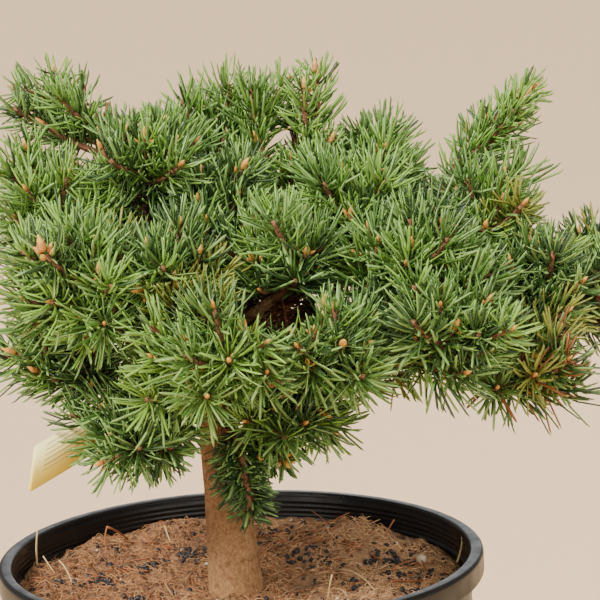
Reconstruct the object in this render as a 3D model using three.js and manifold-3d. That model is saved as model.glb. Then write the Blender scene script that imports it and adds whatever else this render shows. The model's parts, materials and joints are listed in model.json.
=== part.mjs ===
// A dwarf pine grown as a small flat-headed standard, in a black nursery pot.
//
// Millimetres, +Z up. The origin is the centre of the pot's flat underside, and -Y is the front.
// One short trunk carries boughs, each bough ends in a mass of foliage, and a mass is a stem with
// a few side shoots. A shoot is a slim three-sided core that needles stand out of.

import * as THREE from "three";
import { mergeVertices } from "three/addons/utils/BufferGeometryUtils.js";
import Module from "manifold-3d";

const wasm = await Module();
wasm.setup();

// ---- Driving dimensions ----

const GAP = 0.3; // between neighbouring pieces

const POT = {
  height: 245,
  rimRadius: 140.5, // outside of the rolled rim
  mouthRadius: 132.5, // inside of the rim
  wallRadius: 134.5, // outside of the wall, right under the rim
  footRadius: 112,
  wall: 2.2,
  floor: 3,
  rimDepth: 14, // height of the rim's skirt
  edge: 1.6, // rounding of the rim's edges
  sides: 36,
};
const DRAIN = { count: 6, width: 20, bottom: 3.5, height: 11 };

const MIX = { top: 223, edgeTop: 226, slope: 50 }; // potting mix: level round the trunk and at the wall

const TRUNK = {
  base: [-3.8, 0, MIX.top - 2], // cut off level with the mix
  bend: [-6.5, -3, 305],
  top: [-17, 4, 384],
  baseRadius: 15.8,
  topRadius: 8,
  flare: 1, // extra radius at ground level
  flareHeight: 9,
  sides: 14,
  rings: 9,
};

const BOUGH = { sides: 6, rings: 3, taper: 0.62, buried: 0.35 };

const SHOOT = {
  rootRadius: 2.6,
  tipRadius: 1.9,
  bareRings: 1,
  needleRings: 4,
  brush: 48, // length that carries needles
  brushShare: 0.85, // of a short shoot
  bud: 9,
  sag: 0.16, // how far a shoot hangs below its chord before it turns up
  droop: 0.35, // how much of the fan is left on its lower side
};
// Tilts are measured from square to the shoot towards its tip, in radians.
const NEEDLE = { length: 26, spread: 0.14, lowTilt: 0.5, tipTilt: 0.82, room: 1.2 };
const GOLDEN_ANGLE = Math.PI * (3 - Math.sqrt(5));

// Each bough: the limb that it leaves, how far up that limb, where it ends, its root radius.
const BOUGHS = {
  bough_left: { from: "trunk", at: 0.84, to: [-70, 12, 400], radius: 6.6 },
  bough_left_back: { from: "bough_left", at: 0.42, to: [-58, 54, 460], radius: 4.4 },
  bough_left_low: { from: "trunk", at: 0.66, to: [-62, -8, 345], radius: 5.6 },
  bough_left_front: { from: "trunk", at: 0.76, to: [-56, -50, 386], radius: 6 },
  bough_left_centre: { from: "bough_left_front", at: 0.45, to: [-24, -48, 396], radius: 4 },
  bough_crown_left: { from: "trunk", at: 0.86, to: [-46, 12, 436], radius: 4.8 },
  bough_back_top: { from: "trunk", at: 0.9, to: [-4, 44, 424], radius: 5.4 },
  bough_spires: { from: "bough_back_top", at: 0.5, to: [34, 34, 430], radius: 4.2 },
  bough_right: { from: "trunk", at: 0.74, to: [146, -6, 364], radius: 7.6 },
  bough_outer_right: { from: "bough_right", at: 0.86, to: [190, 22, 368], radius: 4.6 },
  bough_right_low: { from: "bough_right", at: 0.68, to: [140, -34, 350], radius: 3.8 },
  bough_right_upper: { from: "bough_right", at: 0.6, to: [128, 12, 398], radius: 5 },
  bough_right_spire: { from: "bough_right", at: 0.44, to: [128, 45, 448], radius: 4.6 },
  bough_crown_right: { from: "trunk", at: 0.9, to: [58, 0, 410], radius: 5.6 },
  bough_crown_back: { from: "bough_crown_right", at: 0.55, to: [72, 36, 414], radius: 4.2 },
  bough_right_front: { from: "trunk", at: 0.83, to: [84, -34, 390], radius: 6.2 },
  bough_right_front_low: { from: "bough_right_front", at: 0.5, to: [92, -58, 366], radius: 4.4 },
  bough_front: { from: "trunk", at: 0.72, to: [-2, -76, 366], radius: 6 },
  bough_front_right: { from: "bough_front", at: 0.45, to: [38, -72, 364], radius: 4.4 },
  bough_mid_front: { from: "trunk", at: 0.92, to: [26, -32, 400], radius: 4.8 },
  bough_back_left: { from: "trunk", at: 0.79, to: [-44, 56, 384], radius: 6 },
  bough_back: { from: "trunk", at: 0.73, to: [6, 72, 374], radius: 6 },
  bough_back_right: { from: "trunk", at: 0.81, to: [60, 68, 384], radius: 6 },
  bough_far_back: { from: "bough_right", at: 0.34, to: [118, 58, 372], radius: 4.8 },
};

// Each mass of foliage: the limb or the seat that it grows from, where its leading shoot ends, how
// wide its shoots fan, how many.
const MASSES = {
  foliage_left: { limb: "bough_left", tip: [-112, 16, 482], fan: 34, shoots: 6 },
  foliage_left_spire: { limb: "bough_left_back", tip: [-123, 84, 510], fan: 18, shoots: 4 },
  foliage_left_low: { limb: "bough_left_low", tip: [-120, -30, 373], fan: 22, shoots: 6 },
  foliage_left_front: { limb: "bough_left_front", tip: [-92, -106, 440], fan: 33, shoots: 7 },
  foliage_left_droop: { limb: "left_under", tip: [-70, -88, 323], fan: 24, shoots: 7 },
  foliage_left_centre: { limb: "bough_left_centre", tip: [-44, -94, 418], fan: 31, shoots: 6 },
  foliage_crown_left: { limb: "bough_crown_left", tip: [-34, 8, 495], fan: 34, shoots: 6 },
  foliage_crown: { limb: "trunk", tip: [10, -14, 470], fan: 32, shoots: 6 },
  foliage_back_top: { limb: "bough_back_top", tip: [2, 88, 500], fan: 32, shoots: 6 },
  foliage_spires: { limb: "bough_spires", tip: [54, 50, 516], fan: 27, shoots: 5 },
  foliage_right: { limb: "bough_right", tip: [187, -18, 420], fan: 35, shoots: 6 },
  foliage_outer_right: { limb: "bough_outer_right", tip: [238, 26, 382], fan: 37, shoots: 6 },
  foliage_right_low: { limb: "bough_right_low", tip: [184, -48, 358], fan: 26, shoots: 6 },
  foliage_right_upper: { limb: "bough_right_upper", tip: [158, 16, 456], fan: 30, shoots: 6 },
  foliage_right_spire: { limb: "bough_right_spire", tip: [180, 62, 501], fan: 13, shoots: 4 },
  foliage_crown_right: { limb: "bough_crown_right", tip: [86, -6, 466], fan: 34, shoots: 6 },
  foliage_crown_back: { limb: "bough_crown_back", tip: [98, 66, 476], fan: 31, shoots: 6 },
  foliage_right_front: { limb: "bough_right_front", tip: [118, -60, 442], fan: 33, shoots: 6 },
  foliage_right_front_low: { limb: "bough_right_front_low", tip: [140, -92, 404], fan: 31, shoots: 6 },
  foliage_front: { limb: "bough_front", tip: [2, -142, 388], fan: 31, shoots: 7 },
  foliage_front_right: { limb: "bough_front_right", tip: [61, -124, 390], fan: 31, shoots: 7 },
  foliage_mid_front: { limb: "bough_mid_front", tip: [44, -68, 430], fan: 30, shoots: 6 },
  foliage_sprig: { limb: "trunk_front", tip: [7, -36, 273], fan: 10, shoots: 6 },
  foliage_under_right: { limb: "trunk_right", tip: [50, -42, 334], fan: 17, shoots: 4 },
  foliage_back_left: { limb: "bough_back_left", tip: [-88, 108, 430], fan: 38, shoots: 4 },
  foliage_back: { limb: "bough_back", tip: [6, 142, 412], fan: 38, shoots: 4 },
  foliage_back_right: { limb: "bough_back_right", tip: [88, 132, 432], fan: 38, shoots: 4 },
  foliage_far_back: { limb: "bough_far_back", tip: [168, 108, 418], fan: 36, shoots: 5 },
  foliage_side_sprig: { limb: "trunk_side", tip: [28, -34, 306], fan: 9, shoots: 3 },
  foliage_left_fork: { limb: "fork_side", tip: [-34, -104, 378], fan: 26, shoots: 6 },
  foliage_spire_left: { limb: "spires_side", tip: [36, 56, 510], fan: 15, shoots: 3 },
};

// Some masses spring from the side of a limb: how far up it, and which way they face.
const SEATS = {
  trunk_front: { on: "trunk", at: 0.6, side: [0.55, -1, -0.1] },
  trunk_side: { on: "trunk", at: 0.56, side: [1, -0.25, 0] },
  trunk_right: { on: "trunk", at: 0.68, side: [1, -0.6, 0] },
  left_under: { on: "bough_left_low", at: 0.42, side: [-0.1, -1, -0.2] },
  fork_side: { on: "bough_front", at: 0.35, side: [-1, 0.1, 0.35] },
  spires_side: { on: "bough_spires", at: 0.75, side: [-0.5, 0, 0.85] },
};

// A soft plastic label: a strip whose narrow end loops round the low left bough.
const LABEL = {
  width: 27,
  thickness: 0.8,
  neck: 9, // width of the strip where it loops
  loopRadius: 6.2,
  loopAt: 0.84, // how far along the bough
  bend: [-80, -37, 326],
  end: [-113, -52, 311.5],
  up: [0.18, 0, 1], // which way the strip's upper edge lies
};

// ---- Materials ----

const material = (color, roughness) =>
  new THREE.MeshStandardMaterial({ color, roughness, metalness: 0 });
const MATERIALS = {
  pot: material(0x1b1b1c, 0.5),
  mix: material(0x6b4630, 0.95),
  bark: material(0xa07a52, 0.85),
  foliage: material(0x4d7a3f, 0.55),
  label: material(0xf2e39b, 0.5),
};

// ---- Small helpers ----

const vector = (point) => new THREE.Vector3(...point);
const mix = (a, b, t) => a + (b - a) * t;

// Park-Miller numbers between 0 and 1, the same on every machine.
function seeded(seed) {
  let state = seed * 7919 + 17;
  return () => {
    state = (state * 48271) % 2147483647;
    return state / 2147483647;
  };
}

function solidOf(geometry) {
  const bare = geometry.index ? geometry.toNonIndexed() : geometry.clone();
  bare.deleteAttribute("normal");
  bare.deleteAttribute("uv");
  const merged = mergeVertices(bare, 1e-4);
  return new wasm.Manifold(
    new wasm.Mesh({
      numProp: 3,
      vertProperties: new Float32Array(merged.attributes.position.array),
      triVerts: new Uint32Array(merged.index.array),
    }),
  );
}

function geometryOf(solid) {
  const mesh = solid.getMesh();
  const points = new Float32Array(mesh.numVert * 3);
  for (let i = 0; i < mesh.numVert; i++)
    for (let k = 0; k < 3; k++) points[3 * i + k] = mesh.vertProperties[mesh.numProp * i + k];
  const geometry = new THREE.BufferGeometry();
  geometry.setAttribute("position", new THREE.BufferAttribute(points, 3));
  geometry.setIndex(new THREE.BufferAttribute(new Uint32Array(mesh.triVerts), 1));
  geometry.computeVertexNormals();
  return geometry;
}

// The largest piece of a solid that a cut may have split.
function largest(solid) {
  return solid.decompose().reduce((a, b) => (b.volume() > a.volume() ? b : a));
}

// Points, tangents and side vectors at even steps along a curve, turned as little as possible.
function stations(curve, steps) {
  const made = [];
  let side = new THREE.Vector3(0, 0, 1);
  if (Math.abs(curve.getTangent(0).z) > 0.8) side.set(1, 0, 0);
  for (const t of steps) {
    const tangent = curve.getTangent(t);
    side = side.clone().addScaledVector(tangent, -side.dot(tangent)).normalize();
    const across = new THREE.Vector3().crossVectors(tangent, side);
    made.push({ t, point: curve.getPoint(t), tangent, side, across });
  }
  return made;
}

const evenly = (count, from = 0, to = 1) =>
  Array.from({ length: count + 1 }, (_, i) => mix(from, to, i / count));

function around(station, angle, radius) {
  return station.point
    .clone()
    .addScaledVector(station.side, Math.cos(angle) * radius)
    .addScaledVector(station.across, Math.sin(angle) * radius);
}

function geometryFrom(triangles) {
  const geometry = new THREE.BufferGeometry();
  geometry.setFromPoints(triangles.flat());
  return geometry;
}

// ---- Limbs ----

// A closed tapering tube; grow widens and lengthens it for cutting a clear seat in a neighbour.
function limbGeometry(limb, grow = 0) {
  const rings = stations(limb.curve, evenly(limb.rings)).map((station, i) => {
    const end = i === 0 ? -grow : i === limb.rings ? grow : 0;
    const moved = { ...station, point: station.point.clone().addScaledVector(station.tangent, end) };
    return evenly(limb.sides, 0, 2 * Math.PI)
      .slice(0, -1)
      .map((angle) => around(moved, angle, limb.radiusAt(station.t) + grow));
  });
  const triangles = [];
  for (let i = 0; i < limb.rings; i++)
    for (let j = 0; j < limb.sides; j++) {
      const k = (j + 1) % limb.sides;
      triangles.push([rings[i][j], rings[i][k], rings[i + 1][k]]);
      triangles.push([rings[i][j], rings[i + 1][k], rings[i + 1][j]]);
    }
  for (let j = 1; j < limb.sides - 1; j++) {
    triangles.push([rings[0][0], rings[0][j + 1], rings[0][j]]);
    triangles.push([rings[limb.rings][0], rings[limb.rings][j], rings[limb.rings][j + 1]]);
  }
  return geometryFrom(triangles);
}

function makeTrunk() {
  const { base, bend, top, baseRadius, topRadius, flare, flareHeight, sides, rings } = TRUNK;
  const curve = new THREE.QuadraticBezierCurve3(vector(base), vector(bend), vector(top));
  const radiusAt = (t) =>
    mix(baseRadius, topRadius, t) + flare * Math.exp((-t * (top[2] - base[2])) / flareHeight);
  return { name: "trunk", curve, radiusAt, sides, rings };
}

function makeBough(name, { from, at, to, radius }, limbs) {
  const start = limbs[from].curve.getPoint(at);
  const end = vector(to);
  const knee = start.clone().lerp(end, 0.5);
  knee.z = mix(knee.z, Math.min(start.z, end.z), BOUGH.buried);
  const curve = new THREE.QuadraticBezierCurve3(start, knee, end);
  const radiusAt = (t) => radius * mix(1, BOUGH.taper, t);
  return { name, from, curve, radiusAt, sides: BOUGH.sides, rings: BOUGH.rings };
}

// Every limb is cut clear of the limbs made before it, its parent among them.
function limbSolids(limbs) {
  const made = {};
  const seats = [];
  for (const limb of Object.values(limbs)) {
    let solid = solidOf(limbGeometry(limb)).trimByPlane([0, 0, 1], MIX.top + GAP);
    for (const seat of seats) if (solid.intersect(seat).volume() > 0) solid = solid.subtract(seat);
    made[limb.name] = largest(solid);
    seats.push(solidOf(limbGeometry(limb, GAP + 0.05)));
  }
  return made;
}

// ---- Shoots ----

// The fan of shoots that a mass grows: a leading shoot, and side shoots that leave it lower down.
function growMass(name, mass, number, limbs) {
  const next = seeded(number + 1);
  const limb = limbs[mass.limb];
  const end = limb.curve.getPoint(1);
  const heading = limb.curve.getTangent(1);
  const root = end.addScaledVector(heading, GAP);
  const tip = vector(mass.tip);
  const along = tip.clone().sub(root);
  const reach = along.length();
  along.normalize();
  const side = new THREE.Vector3().crossVectors(along, new THREE.Vector3(0, 0, 1)).normalize();
  const rise = new THREE.Vector3().crossVectors(side, along);
  const stemKnee = root.clone().addScaledVector(heading, reach * 0.4);
  const stem = new THREE.QuadraticBezierCurve3(root, stemKnee, tip);
  const shoots = [{ mass: name, curve: stem, leader: true }];
  const phase = next() * 2 * Math.PI;
  for (let k = 1; k < mass.shoots; k++) {
    const turn = phase + k * GOLDEN_ANGLE;
    const out = Math.sqrt((k + 0.5) / mass.shoots);
    const lift = Math.sin(turn) * (Math.sin(turn) < 0 ? SHOOT.droop : 1);
    const goal = tip
      .clone()
      .addScaledVector(side, Math.cos(turn) * out * mass.fan)
      .addScaledVector(rise, lift * out * mass.fan)
      .addScaledVector(along, -reach * mix(0.1, 0.42, out * out) * (0.5 + next()));
    const leave = stem.getPoint(mix(0.5, 0.14, out));
    const knee = leave.clone().lerp(goal, 0.5);
    knee.z -= SHOOT.sag * leave.distanceTo(goal);
    const curve = new THREE.QuadraticBezierCurve3(leave, knee, goal);
    shoots.push({ mass: name, curve, leader: false });
  }
  return shoots;
}

const shootRadius = (t) => mix(SHOOT.rootRadius, SHOOT.tipRadius, t);

// Distance from a point to a curve that is sampled once and kept.
function samplesOf(curve, count = 12) {
  curve.samples ??= evenly(count).map((t) => curve.getPoint(t));
  return curve.samples;
}
function distanceTo(curve, point) {
  const samples = samplesOf(curve);
  let best = Infinity;
  let bestT = 0;
  const line = new THREE.Line3();
  const near = new THREE.Vector3();
  for (let i = 0; i + 1 < samples.length; i++) {
    line.set(samples[i], samples[i + 1]);
    const s = line.closestPointToPointParameter(point, true);
    const d = line.at(s, near).distanceTo(point);
    if (d < best) [best, bestT] = [d, (i + s) / (samples.length - 1)];
  }
  return { d: best, t: bestT };
}

// A side shoot is left out where it would touch a limb, the label or a shoot of another mass.
function roomFor(shoot, accepted, limbs, ownLimb) {
  return samplesOf(shoot.curve).every((point, i, all) => {
    const clear = shootRadius(i / (all.length - 1)) + NEEDLE.room;
    for (const limb of Object.values(limbs)) {
      const { d, t } = distanceTo(limb.curve, point);
      if (limb === ownLimb && t > 0.9 && shoot.leader && i < 3) continue;
      if (d < limb.radiusAt(t) + clear) return false;
    }
    return accepted.every(
      (other) =>
        other.mass === shoot.mass ||
        distanceTo(other.curve, point).d > clear + shootRadius(0) + NEEDLE.room,
    );
  });
}

// A needle is left out where it would leave its shoot's own space or touch a limb.
function needleFits(shoot, foot, point, all, limbs) {
  return [0.3, 0.65, 1].every((share) => {
    const here = foot.clone().lerp(point, share);
    const thick = mix(2.2, 0.2, share);
    const own = distanceTo(shoot.curve, here).d;
    for (const limb of Object.values(limbs)) {
      const { d, t } = distanceTo(limb.curve, here);
      if (d < limb.radiusAt(t) + thick + NEEDLE.room) return false;
    }
    return all.every((other) => {
      if (other === shoot) return true;
      const away = distanceTo(other.curve, here).d;
      return away > own + (other.mass === shoot.mass ? 0 : thick + NEEDLE.room);
    });
  });
}

// One shoot: three-sided rings, each turned against the last, with a needle on each face of the brush.
function shootGeometry(shoot, all, limbs, next) {
  const { curve } = shoot;
  const length = curve.getLength();
  const brush = Math.min(SHOOT.brush, SHOOT.brushShare * length);
  const bare = 1 - brush / length;
  const steps = [
    ...evenly(SHOOT.bareRings, 0, bare),
    ...evenly(SHOOT.needleRings, bare, 1).slice(1),
  ];
  const spine = stations(curve, steps);
  const third = (2 * Math.PI) / 3;
  const rings = spine.map((station, i) =>
    [0, 1, 2].map((j) => around(station, (j + i / 2) * third, shootRadius(station.t))),
  );
  const triangles = [[rings[0][0], rings[0][2], rings[0][1]]];
  const addFace = (a, b, c, t) => {
    const foot = a.clone().add(b).add(c).divideScalar(3);
    const into = spine.reduce((x, y) => (Math.abs(y.t - t) < Math.abs(x.t - t) ? y : x));
    const lean = mix(NEEDLE.lowTilt, NEEDLE.tipTilt, (t - bare) / (1 - bare));
    const tilt = lean + (next() - 0.5) * NEEDLE.spread;
    const radial = foot.clone().sub(into.point);
    radial.addScaledVector(into.tangent, -radial.dot(into.tangent)).normalize();
    const point = foot
      .clone()
      .addScaledVector(radial, Math.cos(tilt) * NEEDLE.length)
      .addScaledVector(into.tangent, Math.sin(tilt) * NEEDLE.length);
    if (t < bare || !needleFits(shoot, foot, point, all, limbs)) {
      triangles.push([a, b, c]);
      return;
    }
    triangles.push([a, b, point], [b, c, point], [c, a, point]);
  };
  for (let i = 0; i + 1 < rings.length; i++) {
    const t = mix(steps[i], steps[i + 1], 0.5);
    for (let j = 0; j < 3; j++) {
      const k = (j + 1) % 3;
      addFace(rings[i][j], rings[i][k], rings[i + 1][j], t);
      addFace(rings[i][k], rings[i + 1][k], rings[i + 1][j], t);
    }
  }
  const last = rings[rings.length - 1];
  const budTip = spine[spine.length - 1];
  const apex = budTip.point.clone().addScaledVector(budTip.tangent, SHOOT.bud);
  for (let j = 0; j < 3; j++) triangles.push([last[j], last[(j + 1) % 3], apex]);
  return geometryFrom(triangles);
}

function massSolid(shoots, all, limbs, number) {
  const next = seeded(number + 101);
  const solids = shoots.map((shoot) => solidOf(shootGeometry(shoot, all, limbs, next)));
  return largest(solids.reduce((whole, shoot) => whole.add(shoot)));
}

// ---- Pot, mix and label ----

function turned(profile, sides) {
  const points = profile.map(([radius, height]) => new THREE.Vector2(radius, height));
  return new THREE.LatheGeometry(points, sides).rotateX(Math.PI / 2);
}

function wallRadiusAt(height) {
  return mix(POT.footRadius, POT.wallRadius, height / (POT.height - POT.rimDepth));
}

function potSolid() {
  const { height, rimRadius, mouthRadius, footRadius, wall, floor, rimDepth, edge, sides } = POT;
  const skirt = height - rimDepth;
  const pot = solidOf(
    turned(
      [
        [0, 0],
        [footRadius - edge, 0],
        [footRadius, edge],
        [wallRadiusAt(skirt), skirt],
        [rimRadius - edge, skirt],
        [rimRadius, skirt + edge],
        [rimRadius, height - edge],
        [rimRadius - edge, height],
        [mouthRadius + edge, height],
        [mouthRadius, height - edge],
        [wallRadiusAt(skirt) - wall, skirt],
        [wallRadiusAt(floor) - wall, floor],
        [0, floor],
      ],
      sides,
    ),
  );
  let cut = pot;
  for (let i = 0; i < DRAIN.count; i++) {
    const slot = new THREE.BoxGeometry(8 * wall, DRAIN.width, DRAIN.height)
      .translate(footRadius, 0, DRAIN.bottom + DRAIN.height / 2)
      .rotateZ(((i + 0.5) * 2 * Math.PI) / DRAIN.count);
    cut = cut.subtract(solidOf(slot));
  }
  return cut;
}

function mixSolid() {
  const { wall, floor, sides } = POT;
  const inside = (height) => wallRadiusAt(height) - wall - 2 * GAP;
  const bottom = floor + GAP;
  return solidOf(
    turned(
      [
        [0, bottom],
        [inside(bottom), bottom],
        [inside(MIX.edgeTop), MIX.edgeTop],
        [inside(MIX.edgeTop) - 12, MIX.edgeTop],
        [MIX.slope, MIX.top],
        [0, MIX.top],
      ],
      sides,
    ),
  );
}

// The loop hangs from the bough, so its centre lies below the bough's.
function loopCentre(limb) {
  const centre = limb.curve.getPoint(LABEL.loopAt);
  centre.z -= LABEL.loopRadius - limb.radiusAt(LABEL.loopAt) - 2 * GAP;
  return centre;
}

// The label's centre line: a straight neck off its loop, then a curl down to the free end.
function labelCurve(limbs) {
  const start = loopCentre(limbs.bough_left_low);
  start.y -= LABEL.loopRadius;
  return new THREE.QuadraticBezierCurve3(start, vector(LABEL.bend), vector(LABEL.end));
}

function labelSolid(limbs) {
  const curve = labelCurve(limbs);
  const up = vector(LABEL.up).normalize();
  const steps = [0, 0.14, 0.3, 0.42, 0.55, 0.7, 0.85, 1];
  const halfWidth = (t) => mix(LABEL.neck, LABEL.width, THREE.MathUtils.smoothstep(t, 0.12, 0.42)) / 2;
  const rings = steps.map((t) => {
    const point = curve.getPoint(t);
    const normal = new THREE.Vector3().crossVectors(curve.getTangent(t), up).normalize();
    return [
      [-1, -1],
      [-1, 1],
      [1, 1],
      [1, -1],
    ].map(([face, edge]) =>
      point
        .clone()
        .addScaledVector(normal, (face * LABEL.thickness) / 2)
        .addScaledVector(up, edge * halfWidth(t)),
    );
  });
  const triangles = [];
  for (let i = 0; i + 1 < rings.length; i++)
    for (let j = 0; j < 4; j++) {
      const k = (j + 1) % 4;
      triangles.push([rings[i][j], rings[i][k], rings[i + 1][k]]);
      triangles.push([rings[i][j], rings[i + 1][k], rings[i + 1][j]]);
    }
  const last = rings.length - 1;
  for (const j of [1, 2]) {
    triangles.push([rings[0][0], rings[0][j + 1], rings[0][j]]);
    triangles.push([rings[last][0], rings[last][j], rings[last][j + 1]]);
  }
  const strip = solidOf(geometryFrom(triangles));
  return strip.add(labelLoop(limbs));
}

// The loop is a flat band round the bough, square to it.
function labelLoop(limbs) {
  const limb = limbs.bough_left_low;
  const ring = [
    [LABEL.loopRadius, -LABEL.neck / 2],
    [LABEL.loopRadius + LABEL.thickness, -LABEL.neck / 2],
    [LABEL.loopRadius + LABEL.thickness, LABEL.neck / 2],
    [LABEL.loopRadius, LABEL.neck / 2],
    [LABEL.loopRadius, -LABEL.neck / 2],
  ];
  const band = turned(ring, 16);
  const heading = limb.curve.getTangent(LABEL.loopAt);
  const turn = new THREE.Quaternion().setFromUnitVectors(new THREE.Vector3(0, 0, 1), heading);
  const place = new THREE.Matrix4().compose(loopCentre(limb), turn, new THREE.Vector3(1, 1, 1));
  return solidOf(band.applyMatrix4(place));
}

// The label as lines along its strip, for keeping needles off it.
function labelLines(limbs) {
  const curve = labelCurve(limbs);
  return [-0.4, -0.2, 0, 0.2, 0.4].map((share) => {
    const lift = vector(LABEL.up).normalize().multiplyScalar(share * LABEL.width);
    const moved = new THREE.QuadraticBezierCurve3(
      curve.v0.clone().add(lift),
      curve.v1.clone().add(lift),
      curve.v2.clone().add(lift),
    );
    return { name: "label", curve: moved, radiusAt: () => 3.4 };
  });
}

// ---- Assembly ----

// A seat is a spot on a limb's side, square to the limb, that a stem grows from.
function seatOn(limb, { at, side }, name) {
  const heading = limb.curve.getTangent(at);
  const out = vector(side);
  out.addScaledVector(heading, -out.dot(heading)).normalize();
  const face = limb.curve.getPoint(at).addScaledVector(out, limb.radiusAt(at) + GAP / 2);
  return {
    name,
    curve: new THREE.LineCurve3(face.clone().addScaledVector(out, -0.01), face),
    radiusAt: () => 0,
  };
}

function build() {
  const group = new THREE.Group();
  const put = (name, solid, finish) => {
    const mesh = new THREE.Mesh(geometryOf(solid), finish);
    mesh.name = name;
    group.add(mesh);
  };

  const limbs = { trunk: makeTrunk() };
  for (const [name, bough] of Object.entries(BOUGHS)) limbs[name] = makeBough(name, bough, limbs);
  put("pot", potSolid(), MATERIALS.pot);
  put("potting_mix", mixSolid(), MATERIALS.mix);
  for (const [name, solid] of Object.entries(limbSolids(limbs))) put(name, solid, MATERIALS.bark);
  put("label", labelSolid(limbs), MATERIALS.label);

  const roots = { ...limbs };
  for (const [name, seat] of Object.entries(SEATS)) roots[name] = seatOn(limbs[seat.on], seat, name);
  const obstacles = { ...limbs };
  labelLines(limbs).forEach((line, i) => (obstacles["label_" + i] = line));
  const accepted = [];
  Object.entries(MASSES).forEach(([name, mass], number) => {
    for (const shoot of growMass(name, mass, number, roots)) {
      const fits = roomFor(shoot, accepted, obstacles, limbs[mass.limb]);
      if (fits || shoot.leader) accepted.push(shoot);
    }
  });
  Object.keys(MASSES).forEach((name, number) => {
    const shoots = accepted.filter((shoot) => shoot.mass === name);
    put(name, massSolid(shoots, accepted, obstacles, number), MATERIALS.foliage);
  });
  return group;
}

export default build();
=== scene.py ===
"""Dresses the potted dwarf pine: pot, potting mix, bark, needled shoots and blank label."""

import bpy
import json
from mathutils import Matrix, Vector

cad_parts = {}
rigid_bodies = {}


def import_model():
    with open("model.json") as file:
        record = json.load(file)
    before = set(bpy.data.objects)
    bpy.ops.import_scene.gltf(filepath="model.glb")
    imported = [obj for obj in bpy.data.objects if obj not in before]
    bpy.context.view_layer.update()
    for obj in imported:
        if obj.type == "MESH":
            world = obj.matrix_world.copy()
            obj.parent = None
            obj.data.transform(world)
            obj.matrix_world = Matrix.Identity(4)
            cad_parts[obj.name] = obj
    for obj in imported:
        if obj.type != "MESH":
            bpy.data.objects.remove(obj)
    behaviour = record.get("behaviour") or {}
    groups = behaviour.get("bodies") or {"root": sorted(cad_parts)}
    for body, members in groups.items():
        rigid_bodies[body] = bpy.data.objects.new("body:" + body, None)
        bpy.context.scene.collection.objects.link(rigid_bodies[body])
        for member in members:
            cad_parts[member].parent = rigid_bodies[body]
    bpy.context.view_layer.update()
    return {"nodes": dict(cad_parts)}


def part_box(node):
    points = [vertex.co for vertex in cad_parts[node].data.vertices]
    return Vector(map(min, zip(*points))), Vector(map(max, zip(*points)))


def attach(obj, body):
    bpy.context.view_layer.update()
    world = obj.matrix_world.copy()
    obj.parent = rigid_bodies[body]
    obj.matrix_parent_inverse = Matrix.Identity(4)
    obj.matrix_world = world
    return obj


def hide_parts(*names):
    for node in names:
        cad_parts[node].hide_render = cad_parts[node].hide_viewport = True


bl_info = {
    "name": "Potted dwarf pine",
    "version": (1, 0, 0),
    "blender": (4, 5, 0),
    "location": "View3D > Sidebar > Pine",
    "description": "Builds a dwarf pine in a nursery pot, piece by piece, around its solid model",
    "category": "Object",
}

import json
import math
import random

import bmesh
import bpy
import numpy as np
from bpy.props import FloatProperty, FloatVectorProperty, IntProperty, PointerProperty
from mathutils import Matrix, Vector, noise

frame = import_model()

MM = 0.001  # the tables and paths below are in millimetres
GOLDEN = math.pi * (3 - math.sqrt(5))
UP = np.array((0.0, 0.0, 1.0))

# ---- The plant's named sizes, the same as its solids' ----

GAP = 0.3
TRUNK = dict(base=(-3.8, 0, 221), bend=(-6.5, -3, 305), top=(-17, 4, 384), base_radius=15.8,
             top_radius=8, flare=1, flare_height=9)
BOUGH_TAPER = 0.62
BOUGH_BURIED = 0.35

# Each bough: the limb that it leaves, how far up that limb, where it ends, its root radius.
BOUGHS = {
    "bough_left": ("trunk", 0.84, (-70, 12, 400), 6.6),
    "bough_left_back": ("bough_left", 0.42, (-58, 54, 460), 4.4),
    "bough_left_low": ("trunk", 0.66, (-62, -8, 345), 5.6),
    "bough_left_front": ("trunk", 0.76, (-56, -50, 386), 6),
    "bough_left_centre": ("bough_left_front", 0.45, (-24, -48, 396), 4),
    "bough_crown_left": ("trunk", 0.86, (-46, 12, 436), 4.8),
    "bough_back_top": ("trunk", 0.9, (-4, 44, 424), 5.4),
    "bough_spires": ("bough_back_top", 0.5, (34, 34, 430), 4.2),
    "bough_right": ("trunk", 0.74, (146, -6, 364), 7.6),
    "bough_outer_right": ("bough_right", 0.86, (190, 22, 368), 4.6),
    "bough_right_low": ("bough_right", 0.68, (140, -34, 350), 3.8),
    "bough_right_upper": ("bough_right", 0.6, (128, 12, 398), 5),
    "bough_right_spire": ("bough_right", 0.44, (128, 45, 448), 4.6),
    "bough_crown_right": ("trunk", 0.9, (58, 0, 410), 5.6),
    "bough_crown_back": ("bough_crown_right", 0.55, (72, 36, 414), 4.2),
    "bough_right_front": ("trunk", 0.83, (84, -34, 390), 6.2),
    "bough_right_front_low": ("bough_right_front", 0.5, (92, -58, 366), 4.4),
    "bough_front": ("trunk", 0.72, (-2, -76, 366), 6),
    "bough_front_right": ("bough_front", 0.45, (38, -72, 364), 4.4),
    "bough_mid_front": ("trunk", 0.92, (26, -32, 400), 4.8),
    "bough_back_left": ("trunk", 0.79, (-44, 56, 384), 6),
    "bough_back": ("trunk", 0.73, (6, 72, 374), 6),
    "bough_back_right": ("trunk", 0.81, (60, 68, 384), 6),
    "bough_far_back": ("bough_right", 0.34, (118, 58, 372), 4.8),
}

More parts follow.
